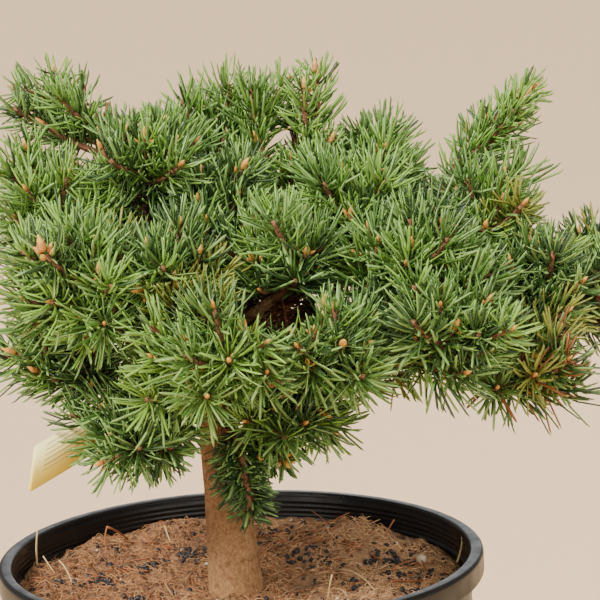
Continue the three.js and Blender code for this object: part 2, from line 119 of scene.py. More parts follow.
# Each mass: its limb, where its leading shoot ends, the fan's radius, its shoots, its side.
MASSES = {
    "foliage_left": ("bough_left", (-112, 16, 482), 34, 6, "left"),
    "foliage_left_spire": ("bough_left_back", (-123, 84, 510), 18, 4, "left"),
    "foliage_left_low": ("bough_left_low", (-120, -30, 373), 22, 6, "left"),
    "foliage_left_front": ("bough_left_front", (-92, -106, 440), 33, 7, "left_front"),
    "foliage_left_droop": ("left_under", (-70, -88, 323), 24, 7, "left"),
    "foliage_left_centre": ("bough_left_centre", (-44, -94, 418), 31, 6, "left_front"),
    "foliage_crown_left": ("bough_crown_left", (-34, 8, 495), 34, 6, "left"),
    "foliage_crown": ("trunk", (10, -14, 470), 32, 6, "top"),
    "foliage_back_top": ("bough_back_top", (2, 88, 500), 32, 6, "top"),
    "foliage_spires": ("bough_spires", (54, 50, 516), 27, 5, "top"),
    "foliage_right": ("bough_right", (187, -18, 420), 35, 6, "right"),
    "foliage_outer_right": ("bough_outer_right", (238, 26, 382), 37, 6, "right"),
    "foliage_right_low": ("bough_right_low", (184, -48, 358), 26, 6, "right"),
    "foliage_right_upper": ("bough_right_upper", (158, 16, 456), 30, 6, "right"),
    "foliage_right_spire": ("bough_right_spire", (180, 62, 501), 13, 4, "right"),
    "foliage_crown_right": ("bough_crown_right", (86, -6, 466), 34, 6, "top"),
    "foliage_crown_back": ("bough_crown_back", (98, 66, 476), 31, 6, "top"),
    "foliage_right_front": ("bough_right_front", (118, -60, 442), 33, 6, "right_front"),
    "foliage_right_front_low": ("bough_right_front_low", (140, -92, 404), 31, 6, "right_front"),
    "foliage_front": ("bough_front", (2, -142, 388), 31, 7, "front"),
    "foliage_front_right": ("bough_front_right", (61, -124, 390), 31, 7, "right_front"),
    "foliage_mid_front": ("bough_mid_front", (44, -68, 430), 30, 6, "left_front"),
    "foliage_sprig": ("trunk_front", (7, -36, 273), 10, 6, "front"),
    "foliage_under_right": ("trunk_right", (50, -42, 334), 17, 4, "front"),
    "foliage_back_left": ("bough_back_left", (-88, 108, 430), 38, 4, "back"),
    "foliage_back": ("bough_back", (6, 142, 412), 38, 4, "back"),
    "foliage_back_right": ("bough_back_right", (88, 132, 432), 38, 4, "back"),
    "foliage_far_back": ("bough_far_back", (168, 108, 418), 36, 5, "back"),
    "foliage_side_sprig": ("trunk_side", (28, -34, 306), 9, 3, "front"),
    "foliage_left_fork": ("fork_side", (-34, -104, 378), 26, 6, "left"),
    "foliage_spire_left": ("spires_side", (36, 56, 510), 15, 3, "top"),
}
# Seats on the side of a limb: the limb, how far up it, and which way they face.
SEATS = {
    "trunk_front": ("trunk", 0.6, (0.55, -1, -0.1)),
    "trunk_side": ("trunk", 0.56, (1, -0.25, 0)),
    "trunk_right": ("trunk", 0.68, (1, -0.6, 0)),
    "left_under": ("bough_left_low", 0.42, (-0.1, -1, -0.2)),
    "fork_side": ("bough_front", 0.35, (-1, 0.1, 0.35)),
    "spires_side": ("bough_spires", 0.75, (-0.5, 0, 0.85)),
}
SHOOT_ROOT, SHOOT_TIP, SHOOT_SAG, FAN_DROOP, ROOM = 2.6, 1.9, 0.16, 0.35, 1.2
LABEL = dict(width=27, neck=9, loop_radius=6.2, loop_at=0.84, bend=(-80, -37, 326),
             end=(-113, -52, 311.5), up=(0.18, 0, 1))

# ---- Tables that only the scene has ----

# Masses whose fine shoots may point down; needle length by mass; those that stay open, as a share of
# the fine shoots.
HANGING = ("foliage_sprig", "foliage_under_right")
VIGOUR = {"foliage_sprig": 0.66, "foliage_side_sprig": 0.7, "foliage_right_spire": 0.8,
          "foliage_left_spire": 0.85, "foliage_spire_left": 0.95, "foliage_spires": 0.88}
THIN = {"foliage_left_droop": 0.6, "foliage_sprig": 0, "foliage_side_sprig": 0,
        "foliage_left_spire": 0.3, "foliage_spires": 0.2, "foliage_right_spire": 0,
        "foliage_spire_left": 0.5, "foliage_back_top": 0.4}
# Hollows that shoots and needles leave open: centre, half sizes, how far they drift to -X and fall
# over each millimetre of depth.
HOLLOWS = (
    ((28, -80, 400), (22, 95, 12), 0.01, 0.19),
    ((-77, 30, 476), (9, 110, 9), 0.08, 0.12),
    ((35, 10, 481), (11, 90, 5), 0.00, 0.12),
    ((139, -60, 354), (6, 90, 3), -0.07, 0.22),
    ((-68, 77, 519), (14, 40, 14), 0.00, 0.12),
    ((-42, 10, 518), (22, 80, 9), 0.05, 0.14),
    ((-98, 84, 537), (20, 40, 9), 0.00, 0.12),
    ((-90, -72, 331), (5, 40, 10), -0.10, 0.22),
)
YELLOWED = (-8, -94, 409)  # shoots that end near here have turned yellow
# The trunk's pruned stubs: how far up, which way, radius in millimetres, and whether sawn pale.
STUBS = (
    (0.72, (-0.3, -1, 0.1), 4.2, True),
    (0.64, (0.1, -1, 0.0), 3.6, True),
    (0.52, (-1, -0.3, 0.1), 2.6, False),
    (0.35, (1, 0.4, 0.1), 2.4, False),
    (0.45, (0.2, 1, 0.1), 3.4, True),
    (0.2, (-0.5, 1, 0.0), 2.2, False),
)
# Straws on the mix: start, middle and end, radius at the start, and whether it is a dead needle.
STRAWS = (
    ((-122.5, 39, 226), (-122.8, 39, 238), (-121.5, 39, 251), 0.8, False),
    ((-82.6, 68.7, 227), (-84, 69, 235), (-82.5, 69.5, 243.5), 0.8, True),
    ((-82.5, 69.5, 243.5), (-76, 79, 237), (-71.5, 88, 230), 0.8, True),
    ((-108, 23, 237), (-103, 15, 233), (-99.6, 8, 227), 0.6, False),
    ((-118, 30, 238), (-114, 26, 233), (-110, 22, 228), 0.5, False),
    ((-48.7, 92, 236), (-47, 86, 233), (-45, 81, 229), 0.6, False),
    ((126, 15, 229), (129.4, 22, 237), (130, 30, 243), 0.7, False),
    ((49, 5, 233), (52, -1, 231), (54, -8, 227), 0.6, True),
    ((54, 6, 230), (66, -8, 231.5), (76, -28, 227), 0.6, False),
    ((52, -38, 240), (50, -36, 231), (49, -34, 223), 0.6, False),
    ((92, 74, 240), (89, 72, 236), (86, 70, 231), 0.6, True),
    ((-20, -74, 226), (-6, -80, 229), (8, -84, 225), 0.7, False),
)
# Where black grains have drifted together on the mix.
DRIFTS = (
    (-105, 10), (-91, 20), (-87, 14), (-79, 9), (-59, 39), (-68, 36), (-75, 39), (-50, 45),
    (-35, 57), (-27, 71), (-30, 62), (41, 58), (29, 51), (48, 34), (78, 36), (86, 30), (63, 1),
    (89, 10), (100, 8), (110, 8), (97, -17), (11, 82), (-61, -24), (84, 46), (60, -34), (-20, -64),
    (30, -70), (-80, -60), (0, -95), (70, -70), (20, 100),
)
# Mounds on the mix, and one dip: height, place, and how far they spread, squared.
MOUNDS = (
    (4.5, (62, 62), (900, 900)),
    (6.5, (70, 96), (420, 260)),
    (3.0, (-40, 112), (420, 420)),
    (2.6, (-66, -10), (700, 700)),
    (-1.6, (40, -50), (500, 500)),
)
# The pot's drain slots: how many, and the heights that they open between.
DRAINS, DRAIN_LOW, DRAIN_HIGH = 6, 4, 14.5
# How far fibres, grains and litter keep off the middle of the trunk's foot.
FIBRES_OFF, GRAINS_OFF, LITTER_OFF = 15, 18, 30
# Dead needle pairs lodged above the fork: how many, round which point, and how widely strewn.
WITHERED = dict(count=160, place=(24, -14, 386), spread=(13, 9, 6))
# The camera's place in metres, and its tilt down and to the side in degrees.
CAMERA = dict(place=(0.0398, -1.4486, 0.6602), pitch=10.5, roll=2.2)


# ---- Sizes and colours a user may change ----

def length(name, default, description, **more):
    return FloatProperty(name=name, description=description, default=default, unit="LENGTH",
                         precision=4, min=0.0, **more)


def colour(name, default, description):
    return FloatVectorProperty(name=name, description=description, default=default, size=3,
                               subtype="COLOR", min=0.0, max=1.0)


class PotSizes(bpy.types.PropertyGroup):
    height: length("Height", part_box("pot")[1].z, "Height of the pot over its rim")
    rim_radius: length("Rim radius", 0.1405, "Outside radius of the rolled rim")
    mouth_radius: length("Mouth radius", 0.1325, "Inside radius of the rim")
    wall_radius: length("Wall radius", 0.1345, "Outside radius of the wall under the rim")
    foot_radius: length("Foot radius", 0.112, "Outside radius at the ground")
    wall: length("Wall thickness", 0.0022, "Thickness of the wall")
    floor: length("Floor thickness", 0.003, "Thickness of the floor")
    rim_depth: length("Rim depth", 0.014, "Height of the rim's skirt")
    steps: IntProperty(name="Steps", description="Facets round the pot", default=144, min=24)


class MixSizes(bpy.types.PropertyGroup):
    level: length("Level", 0.2225, "Height of the mix round the trunk")
    fibres: IntProperty(name="Fibres", description="Loose coir fibres on the surface", default=7500)
    grains: IntProperty(name="Grains", description="Black grains on the surface", default=900)
    perlite: IntProperty(name="Perlite", description="White grains on the surface", default=34)
    litter: IntProperty(name="Litter", description="Pairs of dead needles that lie about", default=260)


class WoodSizes(bpy.types.PropertyGroup):
    voxel: length("Bark mesh", 0.00095, "Mesh size of the bark")
    fissure: length("Fissures", 0.00055, "Depth of the bark's upright cracks")


class FoliageSizes(bpy.types.PropertyGroup):
    needle: length("Needle length", 0.0235, "Length of a needle")
    needle_width: length("Needle width", 0.0018, "Width of a needle")
    spacing: length("Pair spacing", 0.0011, "Distance along a shoot from one needle pair to the next")
    brush: length("Brush", 0.044, "Length of a shoot that carries all its needles")
    room: length("Shoot room", 0.0135, "Least distance from a fine shoot's tip to another shoot")


class LabelSizes(bpy.types.PropertyGroup):
    thickness: length("Thickness", 0.0006, "Thickness of the label")


class FinishColours(bpy.types.PropertyGroup):
    pot: colour("Pot", (0.0065, 0.006, 0.0065), "Black pot plastic")
    # Bright is dealt more to higher and front sprays and deep to low and sheltered ones, as painted light and
    # shade.
    deep: colour("Deep needles", (0.028, 0.070, 0.019), "Shaded or older shoots")
    mid: colour("Needles", (0.068, 0.158, 0.028), "Most shoots")
    bright: colour("Bright needles", (0.20, 0.385, 0.058), "Young shoots")
    olive: colour("Yellowing needles", (0.23, 0.26, 0.045), "Ageing needles")
    rust: colour("Dead needles", (0.23, 0.085, 0.028), "Withered needles")
    pale: colour("Needle backs", (0.20, 0.345, 0.095), "The needles' flat waxy faces")


class StageSettings(bpy.types.PropertyGroup):
    focal: FloatProperty(name="Focal length", description="Lens of the camera", default=155.16,
                         unit="CAMERA")
    sun: FloatProperty(name="Key light", description="Strength of the broad sun-like key", default=6.1)
    fill: FloatProperty(name="Fill light", description="Power of the large soft fills", default=13.0,
                        unit="POWER")


SETTINGS = {"pine_pot": PotSizes, "pine_mix": MixSizes, "pine_wood": WoodSizes,
            "pine_foliage": FoliageSizes, "pine_label": LabelSizes, "pine_colours": FinishColours,
            "pine_stage": StageSettings}


# ---- Materials ----

def finish(name, base, roughness, **sockets):
    """A Principled material with plain values."""
    mat = bpy.data.materials.new(name)
    mat.use_nodes = True
    shader = mat.node_tree.nodes["Principled BSDF"]
    shader.inputs["Base Color"].default_value = (*base, 1)
    shader.inputs["Roughness"].default_value = roughness
    for key, value in sockets.items():
        shader.inputs[key.replace("_", " ")].default_value = value
    mat.diffuse_color = (*base, 1)
    return mat


class Pattern:
    """Short calls for a material's node tree."""

    def __init__(self, mat):
        self.tree = mat.node_tree
        self.shader = self.tree.nodes["Principled BSDF"]
        self.place = self.tree.nodes.new("ShaderNodeTexCoord")

    def node(self, kind, values=(), **settings):
        made = self.tree.nodes.new(kind)
        for key, value in settings.items():
            setattr(made, key, value)
        for key, value in dict(values).items():
            if isinstance(value, bpy.types.NodeSocket):
                self.tree.links.new(value, made.inputs[key])
            else:
                made.inputs[key].default_value = value
        return made

    def stretched(self, scale):
        moved = self.node("ShaderNodeMapping", {"Vector": self.place.outputs["Object"], "Scale": scale})
        return moved.outputs["Vector"]

    def noise(self, scale, detail=4, rough=0.6, vector=None, distortion=0.0):
        vector = vector or self.place.outputs["Object"]
        made = self.node("ShaderNodeTexNoise", {"Vector": vector, "Scale": scale, "Detail": detail,
                                                "Roughness": rough, "Distortion": distortion})
        return made.outputs["Fac"]

    def cells(self, scale):
        made = self.node("ShaderNodeTexVoronoi", {"Vector": self.place.outputs["Object"], "Scale": scale})
        return made.outputs["Distance"]

    def ramp(self, value, stops):
        made = self.node("ShaderNodeValToRGB", {"Fac": value})
        ends = made.color_ramp.elements
        while len(ends) < len(stops):
            ends.new(0.5)
        for end, (place, shade) in zip(ends, stops):
            end.position = place
            end.color = (*shade, 1)
        return made.outputs["Color"]

    def spread(self, value, low, high, to_low=0.0, to_high=1.0):
        made = self.node("ShaderNodeMapRange", {"Value": value, "From Min": low, "From Max": high,
                                                "To Min": to_low, "To Max": to_high})
        return made.outputs["Result"]

    def blend(self, share, first, second):
        made = self.node("ShaderNodeMix", data_type="RGBA")
        for socket, value in ((made.inputs[0], share), (made.inputs[6], first), (made.inputs[7], second)):
            if isinstance(value, bpy.types.NodeSocket):
                self.tree.links.new(value, socket)
            else:
                socket.default_value = value if socket.type == "VALUE" else (*value, 1)
        return made.outputs[2]

    def sum(self, first, second, operation="ADD"):
        return self.node("ShaderNodeMath", {0: first, 1: second}, operation=operation).outputs[0]

    def paint(self, shade, rough, height, depth, strength):
        """Joins the shade, the roughness (None keeps the plain one) and the bump to the shader."""
        links = self.tree.links
        links.new(shade, self.shader.inputs["Base Color"])
        if rough is not None:
            links.new(rough, self.shader.inputs["Roughness"])
        bump = self.node("ShaderNodeBump", {"Height": height, "Distance": depth, "Strength": strength})
        links.new(bump.outputs["Normal"], self.shader.inputs["Normal"])


def pot_plastic(base):
    mat = finish("pot_plastic", base, 0.34, Specular_IOR_Level=0.33)
    p = Pattern(mat)
    dust = p.spread(p.noise(60, 8, 0.7), 0.5, 0.78)
    specks = p.spread(p.cells(420), 0.0, 0.16, 1, 0)
    specks = p.sum(specks, p.spread(p.noise(90, 3), 0.52, 0.64), "MULTIPLY")
    scuffs = p.spread(p.noise(140, 6, 0.7, p.stretched((1, 1, 9))), 0.6, 0.72)
    shade = p.blend(p.sum(dust, 0.2, "MULTIPLY"), base, (0.046, 0.041, 0.036))
    shade = p.blend(p.sum(specks, 0.55, "MULTIPLY"), shade, (0.13, 0.095, 0.065))
    shade = p.blend(p.sum(scuffs, 0.25, "MULTIPLY"), shade, (0.075, 0.075, 0.078))
    rough = p.spread(p.noise(75, 6, 0.65), 0.3, 0.7, 0.24, 0.46)
    p.paint(shade, rough, p.noise(850, 4, 0.6), 0.0002, 0.25)
    return mat


def mix_ground():
    mat = finish("potting_mix_ground", (0.16, 0.08, 0.045), 0.95)
    p = Pattern(mat)
    fine = p.noise(380, 8, 0.72, distortion=0.6)
    shade = p.ramp(fine, ((0.28, (0.04, 0.018, 0.01)), (0.42, (0.20, 0.09, 0.042)),
                          (0.54, (0.44, 0.225, 0.105)), (0.70, (0.62, 0.37, 0.195))))
    patches = p.spread(p.noise(45, 4), 0.35, 0.65)
    shade = p.blend(p.sum(patches, 0.4, "MULTIPLY"), shade, (0.05, 0.024, 0.015))
    # The ground turns paler towards +X: painted light on the side of the mix that the crown shades.
    split = p.node("ShaderNodeSeparateXYZ", {"Vector": p.place.outputs["Object"]})
    shade = p.blend(p.spread(split.outputs["X"], 0.0, 0.07, 0, 0.4), shade, (0.72, 0.46, 0.27))
    p.paint(shade, None, p.sum(fine, p.noise(1200, 3)), 0.002, 0.9)
    return mat


def bark_finish():
    mat = finish("bark", (0.40, 0.23, 0.115), 0.86)
    p = Pattern(mat)
    grain = p.noise(560, 8, 0.75, p.stretched((1, 1, 0.75)), 0.8)
    flakes = p.noise(135, 8, 0.72, p.stretched((1, 1, 0.9)), 1.2)
    shade = p.ramp(grain, ((0.28, (0.105, 0.048, 0.020)), (0.41, (0.28, 0.135, 0.054)),
                           (0.55, (0.42, 0.225, 0.098)), (0.72, (0.57, 0.345, 0.175))))
    shade = p.blend(p.spread(flakes, 0.54, 0.68, 0, 0.6), shade, (0.50, 0.29, 0.14))
    shade = p.blend(p.spread(flakes, 0.47, 0.34, 0, 0.7), shade, (0.17, 0.075, 0.03))
    specks = p.spread(p.cells(430), 0.0, 0.2, 1, 0)
    specks = p.sum(specks, p.spread(p.noise(130, 3), 0.46, 0.6), "MULTIPLY")
    shade = p.blend(p.sum(specks, 0.75, "MULTIPLY"), shade, (0.06, 0.035, 0.02))
    p.paint(shade, p.spread(grain, 0.3, 0.7, 0.95, 0.75), p.sum(grain, flakes), 0.0012, 0.9)
    return mat


def twig_bark():
    mat = finish("twig_bark", (0.2, 0.085, 0.04), 0.8)
    p = Pattern(mat)
    scales = p.noise(520, 5, 0.7, distortion=0.8)
    shade = p.ramp(scales, ((0.3, (0.045, 0.018, 0.01)), (0.5, (0.19, 0.075, 0.035)),
                            (0.7, (0.36, 0.19, 0.095))))
    p.paint(shade, None, scales, 0.0008, 0.9)
    return mat


def cut_wood():
    mat = finish("cut_wood", (0.46, 0.33, 0.2), 0.8)
    p = Pattern(mat)
    shade = p.ramp(p.noise(500, 5, 0.7), ((0.3, (0.26, 0.17, 0.095)), (0.6, (0.55, 0.41, 0.26))))
    p.paint(shade, None, p.noise(900, 4), 0.0004, 0.5)
    return mat


def label_plastic():
    mat = finish("label_plastic", (0.86, 0.76, 0.42), 0.42)
    p = Pattern(mat)
    split = p.node("ShaderNodeSeparateXYZ", {"Vector": p.place.outputs["UV"]})
    along, across = split.outputs["X"], split.outputs["Y"]
    shade = p.ramp(across, ((0.1, (1.0, 0.78, 0.12)), (0.5, (1.0, 0.87, 0.27)),
                            (0.86, (1.0, 0.92, 0.44))))
    rows = p.node("ShaderNodeMath", {0: p.sum(across, 9.0, "MULTIPLY")}, operation="FRACT")
    lines = p.spread(rows.outputs[0], 0.62, 0.68)
    inside = p.sum(p.spread(across, 0.3, 0.32), p.spread(across, 0.93, 0.95, 1, 0), "MULTIPLY")
    inside = p.sum(inside, p.spread(along, 0.45, 0.47), "MULTIPLY")
    inside = p.sum(inside, p.spread(along, 0.93, 0.94, 1, 0), "MULTIPLY")
    faint = p.sum(p.sum(lines, inside, "MULTIPLY"), 0.6, "MULTIPLY")
    shade = p.blend(faint, shade, (0.28, 0.20, 0.12))
    p.paint(shade, p.spread(p.noise(120, 5), 0.3, 0.7, 0.36, 0.52), p.noise(260, 3), 0.0003, 0.2)
    return mat


# ---- Meshes ----

def in_place(name, mesh, mats):
    """A finished piece at the origin, riding on the one body."""
    piece = bpy.data.objects.new(name, mesh)
    bpy.context.scene.collection.objects.link(piece)
    for mat in mats:
        mesh.materials.append(mat)
    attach(piece, "root")
    return piece


def from_bmesh(name, bm):
    mesh = bpy.data.meshes.new(name)
    for face in bm.faces:
        face.smooth = True
    bm.to_mesh(mesh)
    bm.free()
    return mesh


def from_arrays(name, points, quads, triangles, quad_kinds, triangle_kinds):
    """A mesh in metres from arrays in millimetres; the kinds are material numbers."""
    mesh = bpy.data.meshes.new(name)
    mesh.vertices.add(len(points))
    mesh.vertices.foreach_set("co", (np.asarray(points) * MM).astype(np.float32).ravel())
    loops = np.concatenate((np.asarray(quads, np.int32).ravel(), np.asarray(triangles, np.int32).ravel()))
    count = len(quads) + len(triangles)
    mesh.loops.add(len(loops))
    mesh.loops.foreach_set("vertex_index", loops)
    starts = np.concatenate((4 * np.arange(len(quads)), 4 * len(quads) + 3 * np.arange(len(triangles))))
    mesh.polygons.add(count)
    mesh.polygons.foreach_set("loop_start", starts.astype(np.int32))
    mesh.polygons.foreach_set("use_smooth", np.ones(count, bool))
    kinds = np.concatenate((quad_kinds, triangle_kinds)).astype(np.int32)
    mesh.polygons.foreach_set("material_index", kinds)
    mesh.update(calc_edges=True)
    mesh.validate()
    return mesh


def unit(vectors):
    vectors = np.asarray(vectors, float)
    return vectors / np.maximum(np.linalg.norm(vectors, axis=-1, keepdims=True), 1e-9)


def square_to(directions):
    """One unit vector square to each direction."""
    helper = np.where(np.abs(directions[..., 2:3]) < 0.9, UP, np.array((1.0, 0.0, 0.0)))
    return unit(np.cross(directions, helper))


def strands(centres, radii, sides=3):
    """Closed tubes along rows of points: points, quads and triangles, each tube's in one block."""
    count, rows = centres.shape[:2]
    tangents = unit(np.gradient(centres, axis=1))
    normal = unit(np.cross(centres[:, -1] - centres[:, 0], centres[:, rows // 2] - centres[:, 0]) + 1e-6)
    across = unit(normal[:, None] - (normal[:, None] * tangents).sum(-1, keepdims=True) * tangents)
    lift = np.cross(tangents, across)
    angles = 2 * np.pi * np.arange(sides) / sides
    rings = centres[:, :, None] + radii[:, :, None, None] * (
        np.cos(angles)[:, None] * across[:, :, None] + np.sin(angles)[:, None] * lift[:, :, None])
    points = rings.reshape(-1, 3)
    base = (np.arange(count) * rows * sides)[:, None, None]
    row = (np.arange(rows - 1) * sides)[None, :, None]
    here, there = np.arange(sides), (np.arange(sides) + 1) % sides
    corners = [base + row + here, base + row + there, base + row + sides + there, base + row + sides + here]
    quads = np.stack([np.broadcast_to(c, (count, rows - 1, sides)) for c in corners], -1).reshape(-1, 4)
    fans = []
    for start, flip in ((0, True), ((rows - 1) * sides, False)):
        for j in range(1, sides - 1):
            fan = [0, j + 1, j] if flip else [0, j, j + 1]
            fans.append(base[:, 0] + start + np.array(fan))
    return points, quads, np.concatenate(fans)


class Parcel:
    """Collects blocks of points and faces that end as one mesh."""

    def __init__(self):
        self.points, self.quads, self.triangles, self.kinds = [], [], [], [[], []]
        self.count = 0

    def add(self, points, quads, triangles, kinds=0, triangle_kinds=None):
        quads, triangles = np.asarray(quads).reshape(-1, 4), np.asarray(triangles).reshape(-1, 3)
        self.points.append(np.asarray(points).reshape(-1, 3))
        self.quads.append(quads + self.count)
        self.triangles.append(triangles + self.count)
        self.kinds[0].append(np.broadcast_to(kinds, len(quads)))
        last = kinds if triangle_kinds is None else triangle_kinds
        self.kinds[1].append(np.broadcast_to(last, len(triangles)))
        self.count += len(self.points[-1])

    def copies(self, points, faces, places, turns, sizes, kinds):
        """Copies of a small mesh of triangles at places, sized along its axes and turned."""
        moved = np.einsum("nij,npj->npi", turns, points[None] * sizes[:, None]) + places[:, None]
        rows = faces[None] + (np.arange(len(places)) * len(points))[:, None, None]
        self.add(moved, np.zeros((0, 4), int), rows, 0, kinds)

    def mesh(self, name):
        return from_arrays(name, np.concatenate(self.points), np.concatenate(self.quads),
                           np.concatenate(self.triangles), *map(np.concatenate, self.kinds))


def proto_of(bm):
    """The points, in millimetres, and triangles of a small bmesh, and how high each triangle lies."""
    bmesh.ops.triangulate(bm, faces=bm.faces)
    bmesh.ops.recalc_face_normals(bm, faces=bm.faces)
    bm.verts.index_update()
    points = np.array([v.co for v in bm.verts])
    faces = np.array([[v.index for v in f.verts] for f in bm.faces])
    heights = np.array([f.calc_center_median().z for f in bm.faces])
    bm.free()
    return points, faces, heights


def turned(profile, steps, scale=MM):
    """A closed profile of (radius, height) spun into a body."""
    bm = bmesh.new()
    verts = [bm.verts.new((r * scale, 0, z * scale)) for r, z in profile]
    edges = [bm.edges.new(pair) for pair in zip(verts, verts[1:])]
    bmesh.ops.spin(bm, geom=verts + edges, cent=(0, 0, 0), axis=(0, 0, 1), angle=2 * math.pi,
                   steps=steps, use_merge=True)
    bmesh.ops.remove_doubles(bm, verts=bm.verts, dist=1e-6 * scale / MM)
    bmesh.ops.dissolve_degenerate(bm, dist=1e-7 * scale / MM, edges=bm.edges)
    bmesh.ops.recalc_face_normals(bm, faces=bm.faces)
    return bm


def random_turns(rng, count):
    """Random 3x3 rotations."""
    q = unit(rng.normal(size=(count, 4)))
    w, x, y, z = q.T
    return np.stack([
        np.stack([1 - 2 * (y * y + z * z), 2 * (x * y - z * w), 2 * (x * z + y * w)], -1),
        np.stack([2 * (x * y + z * w), 1 - 2 * (x * x + z * z), 2 * (y * z - x * w)], -1),
        np.stack([2 * (x * z - y * w), 2 * (y * z + x * w), 1 - 2 * (x * x + y * y)], -1)], 1)


def turns_to(directions, spin):
    """3x3 rotations that carry +Z to each direction, after a spin about it."""
    side = square_to(directions)
    other = np.cross(directions, side)
    c, s = np.cos(spin)[:, None], np.sin(spin)[:, None]
    return np.stack([c * side + s * other, -s * side + c * other, directions], -1)


# ---- Paths and growth: the solids' rule ----

class Path:
    """A quadratic curve in millimetres."""

    def __init__(self, start, knee, end):
        self.start, self.knee, self.end = (np.array(p, float) for p in (start, knee, end))
        self.samples = self.points(np.linspace(0, 1, 13))
        self.length = np.linalg.norm(np.diff(self.points(np.linspace(0, 1, 65)), axis=0), axis=1).sum()

    def points(self, t):
        t = np.asarray(t, float)[..., None]
        return (1 - t) ** 2 * self.start + 2 * t * (1 - t) * self.knee + t * t * self.end

    def tangents(self, t):
        t = np.asarray(t, float)[..., None]
        return unit((1 - t) * (self.knee - self.start) + t * (self.end - self.knee))

    def nearest(self, points):
        """Distance and place along the path of the nearest point, for each of some points."""
        points = np.asarray(points, float).reshape(-1, 3)
        a, d = self.samples[:-1], np.diff(self.samples, axis=0)
        s = ((points[:, None] - a) * d).sum(-1) / np.maximum((d * d).sum(-1), 1e-12)
        s = np.clip(s, 0, 1)
        away = np.linalg.norm(points[:, None] - a - s[..., None] * d, axis=-1)
        best = away.argmin(1)
        rows = np.arange(len(points))
        return away[rows, best], (best + s[rows, best]) / len(d)


class Limb:
    """A path with a radius at each place along it: the trunk, a bough, a seat or a label line."""

    def __init__(self, name, path, radius_at, parent=None):
        self.name, self.path, self.radius_at, self.parent = name, path, radius_at, parent


class Shoot:
    """A path that bears needles: a mass's leader, one of its fan, or a fine one."""

    def __init__(self, mass, path, leader=False, fine=False):
        self.mass, self.path, self.leader, self.fine = mass, path, leader, fine


def seeded(seed):
    """Park-Miller numbers between 0 and 1."""
    state = seed * 7919 + 17
    while True:
        state = state * 48271 % 2147483647
        yield state / 2147483647


def lerp(a, b, t):
    return a + (b - a) * t


def grow_limbs():
    """The trunk, and each bough from the limb that it leaves."""
    rise = TRUNK["top"][2] - TRUNK["base"][2]

    def trunk_radius(t):
        flare = TRUNK["flare"] * np.exp(-np.asarray(t) * rise / TRUNK["flare_height"])
        return lerp(TRUNK["base_radius"], TRUNK["top_radius"], t) + flare

    limbs = {"trunk": Limb("trunk", Path(TRUNK["base"], TRUNK["bend"], TRUNK["top"]), trunk_radius)}
    for name, (parent, at, end, radius) in BOUGHS.items():
        start, end = limbs[parent].path.points(at), np.array(end, float)
        knee = (start + end) / 2
        knee[2] = lerp(knee[2], min(start[2], end[2]), BOUGH_BURIED)
        limbs[name] = Limb(name, Path(start, knee, end),
                           lambda t, r=radius: r * lerp(1, BOUGH_TAPER, t), parent)
    return limbs


def loop_centre(limb):
    """The middle of the label's loop, which hangs on its bough."""
    centre = limb.path.points(LABEL["loop_at"])
    centre[2] -= LABEL["loop_radius"] - limb.radius_at(LABEL["loop_at"]) - 2 * GAP
    return centre


def label_path(limbs, lift=0.0):
    """The label's middle line, or a line beside it, raised by a lift."""
    start = loop_centre(limbs["bough_left_low"])
    start[1] -= LABEL["loop_radius"]
    raised = lift * unit(np.array(LABEL["up"]))
    return Path(start + raised, LABEL["bend"] + raised, LABEL["end"] + raised)


def grow_mass(name, number, roots):
    """A mass's leading shoot and the fan of side shoots that leave it."""
    limb_name, tip, fan, count, _ = MASSES[name]
    chance = seeded(number + 1)
    limb = roots[limb_name]
    heading = limb.path.tangents(1.0)
    root = limb.path.points(1.0) + heading * GAP
    tip = np.array(tip, float)
    reach = np.linalg.norm(tip - root)
    along = (tip - root) / reach
    side = unit(np.cross(along, UP))
    rise = np.cross(side, along)
    stem = Path(root, root + heading * reach * 0.4, tip)
    shoots = [Shoot(name, stem, leader=True)]
    phase = next(chance) * 2 * math.pi
    for k in range(1, count):
        turn = phase + k * GOLDEN
        out = math.sqrt((k + 0.5) / count)
        back = reach * lerp(0.1, 0.42, out * out) * (0.5 + next(chance))
        lift = math.sin(turn) * (FAN_DROOP if math.sin(turn) < 0 else 1)
        goal = tip + out * fan * (math.cos(turn) * side + lift * rise) - along * back
        leave = stem.points(lerp(0.5, 0.14, out))
        knee = (leave + goal) / 2
        knee[2] -= SHOOT_SAG * np.linalg.norm(goal - leave)
        shoots.append(Shoot(name, Path(leave, knee, goal)))
    return shoots


def room_for(shoot, accepted, limbs, own_limb):
    """False where a shoot would touch a limb, the label or a shoot of another mass."""
    steps = np.arange(13)
    clear = lerp(SHOOT_ROOT, SHOOT_TIP, steps / 12) + ROOM
    for limb in limbs.values():
        away, t = limb.path.nearest(shoot.path.samples)
        touching = away < limb.radius_at(t) + clear
        if limb is own_limb and shoot.leader:
            touching &= ~((t > 0.9) & (steps < 3))
        if touching.any():
            return False
    for other in accepted:
        if other.mass != shoot.mass:
            if (other.path.nearest(shoot.path.samples)[0] <= clear + SHOOT_ROOT + ROOM).any():
                return False
    return True


def gaps_to(paths, points):
    """Distances from a few points to sampled paths, as rows of paths by columns of points."""
    a, d = paths[:, :-1, None], np.diff(paths, axis=1)[:, :, None]
    to = points[None, None] - a
    s = np.clip((to * d).sum(-1) / np.maximum((d * d).sum(-1), 1e-12), 0, 1)
    return np.linalg.norm(to - s[..., None] * d, axis=-1).min(1)


def in_hollow(points):
    """Which points lie in a hollow that the plant leaves open."""
    inside = np.zeros(len(points), bool)
    for centre, half, drift, fall in HOLLOWS:
        away = points - centre
        away = away + away[:, 1:2] * (drift, 0, fall)
        inside |= ((away / half) ** 2).sum(-1) < 1
    return inside


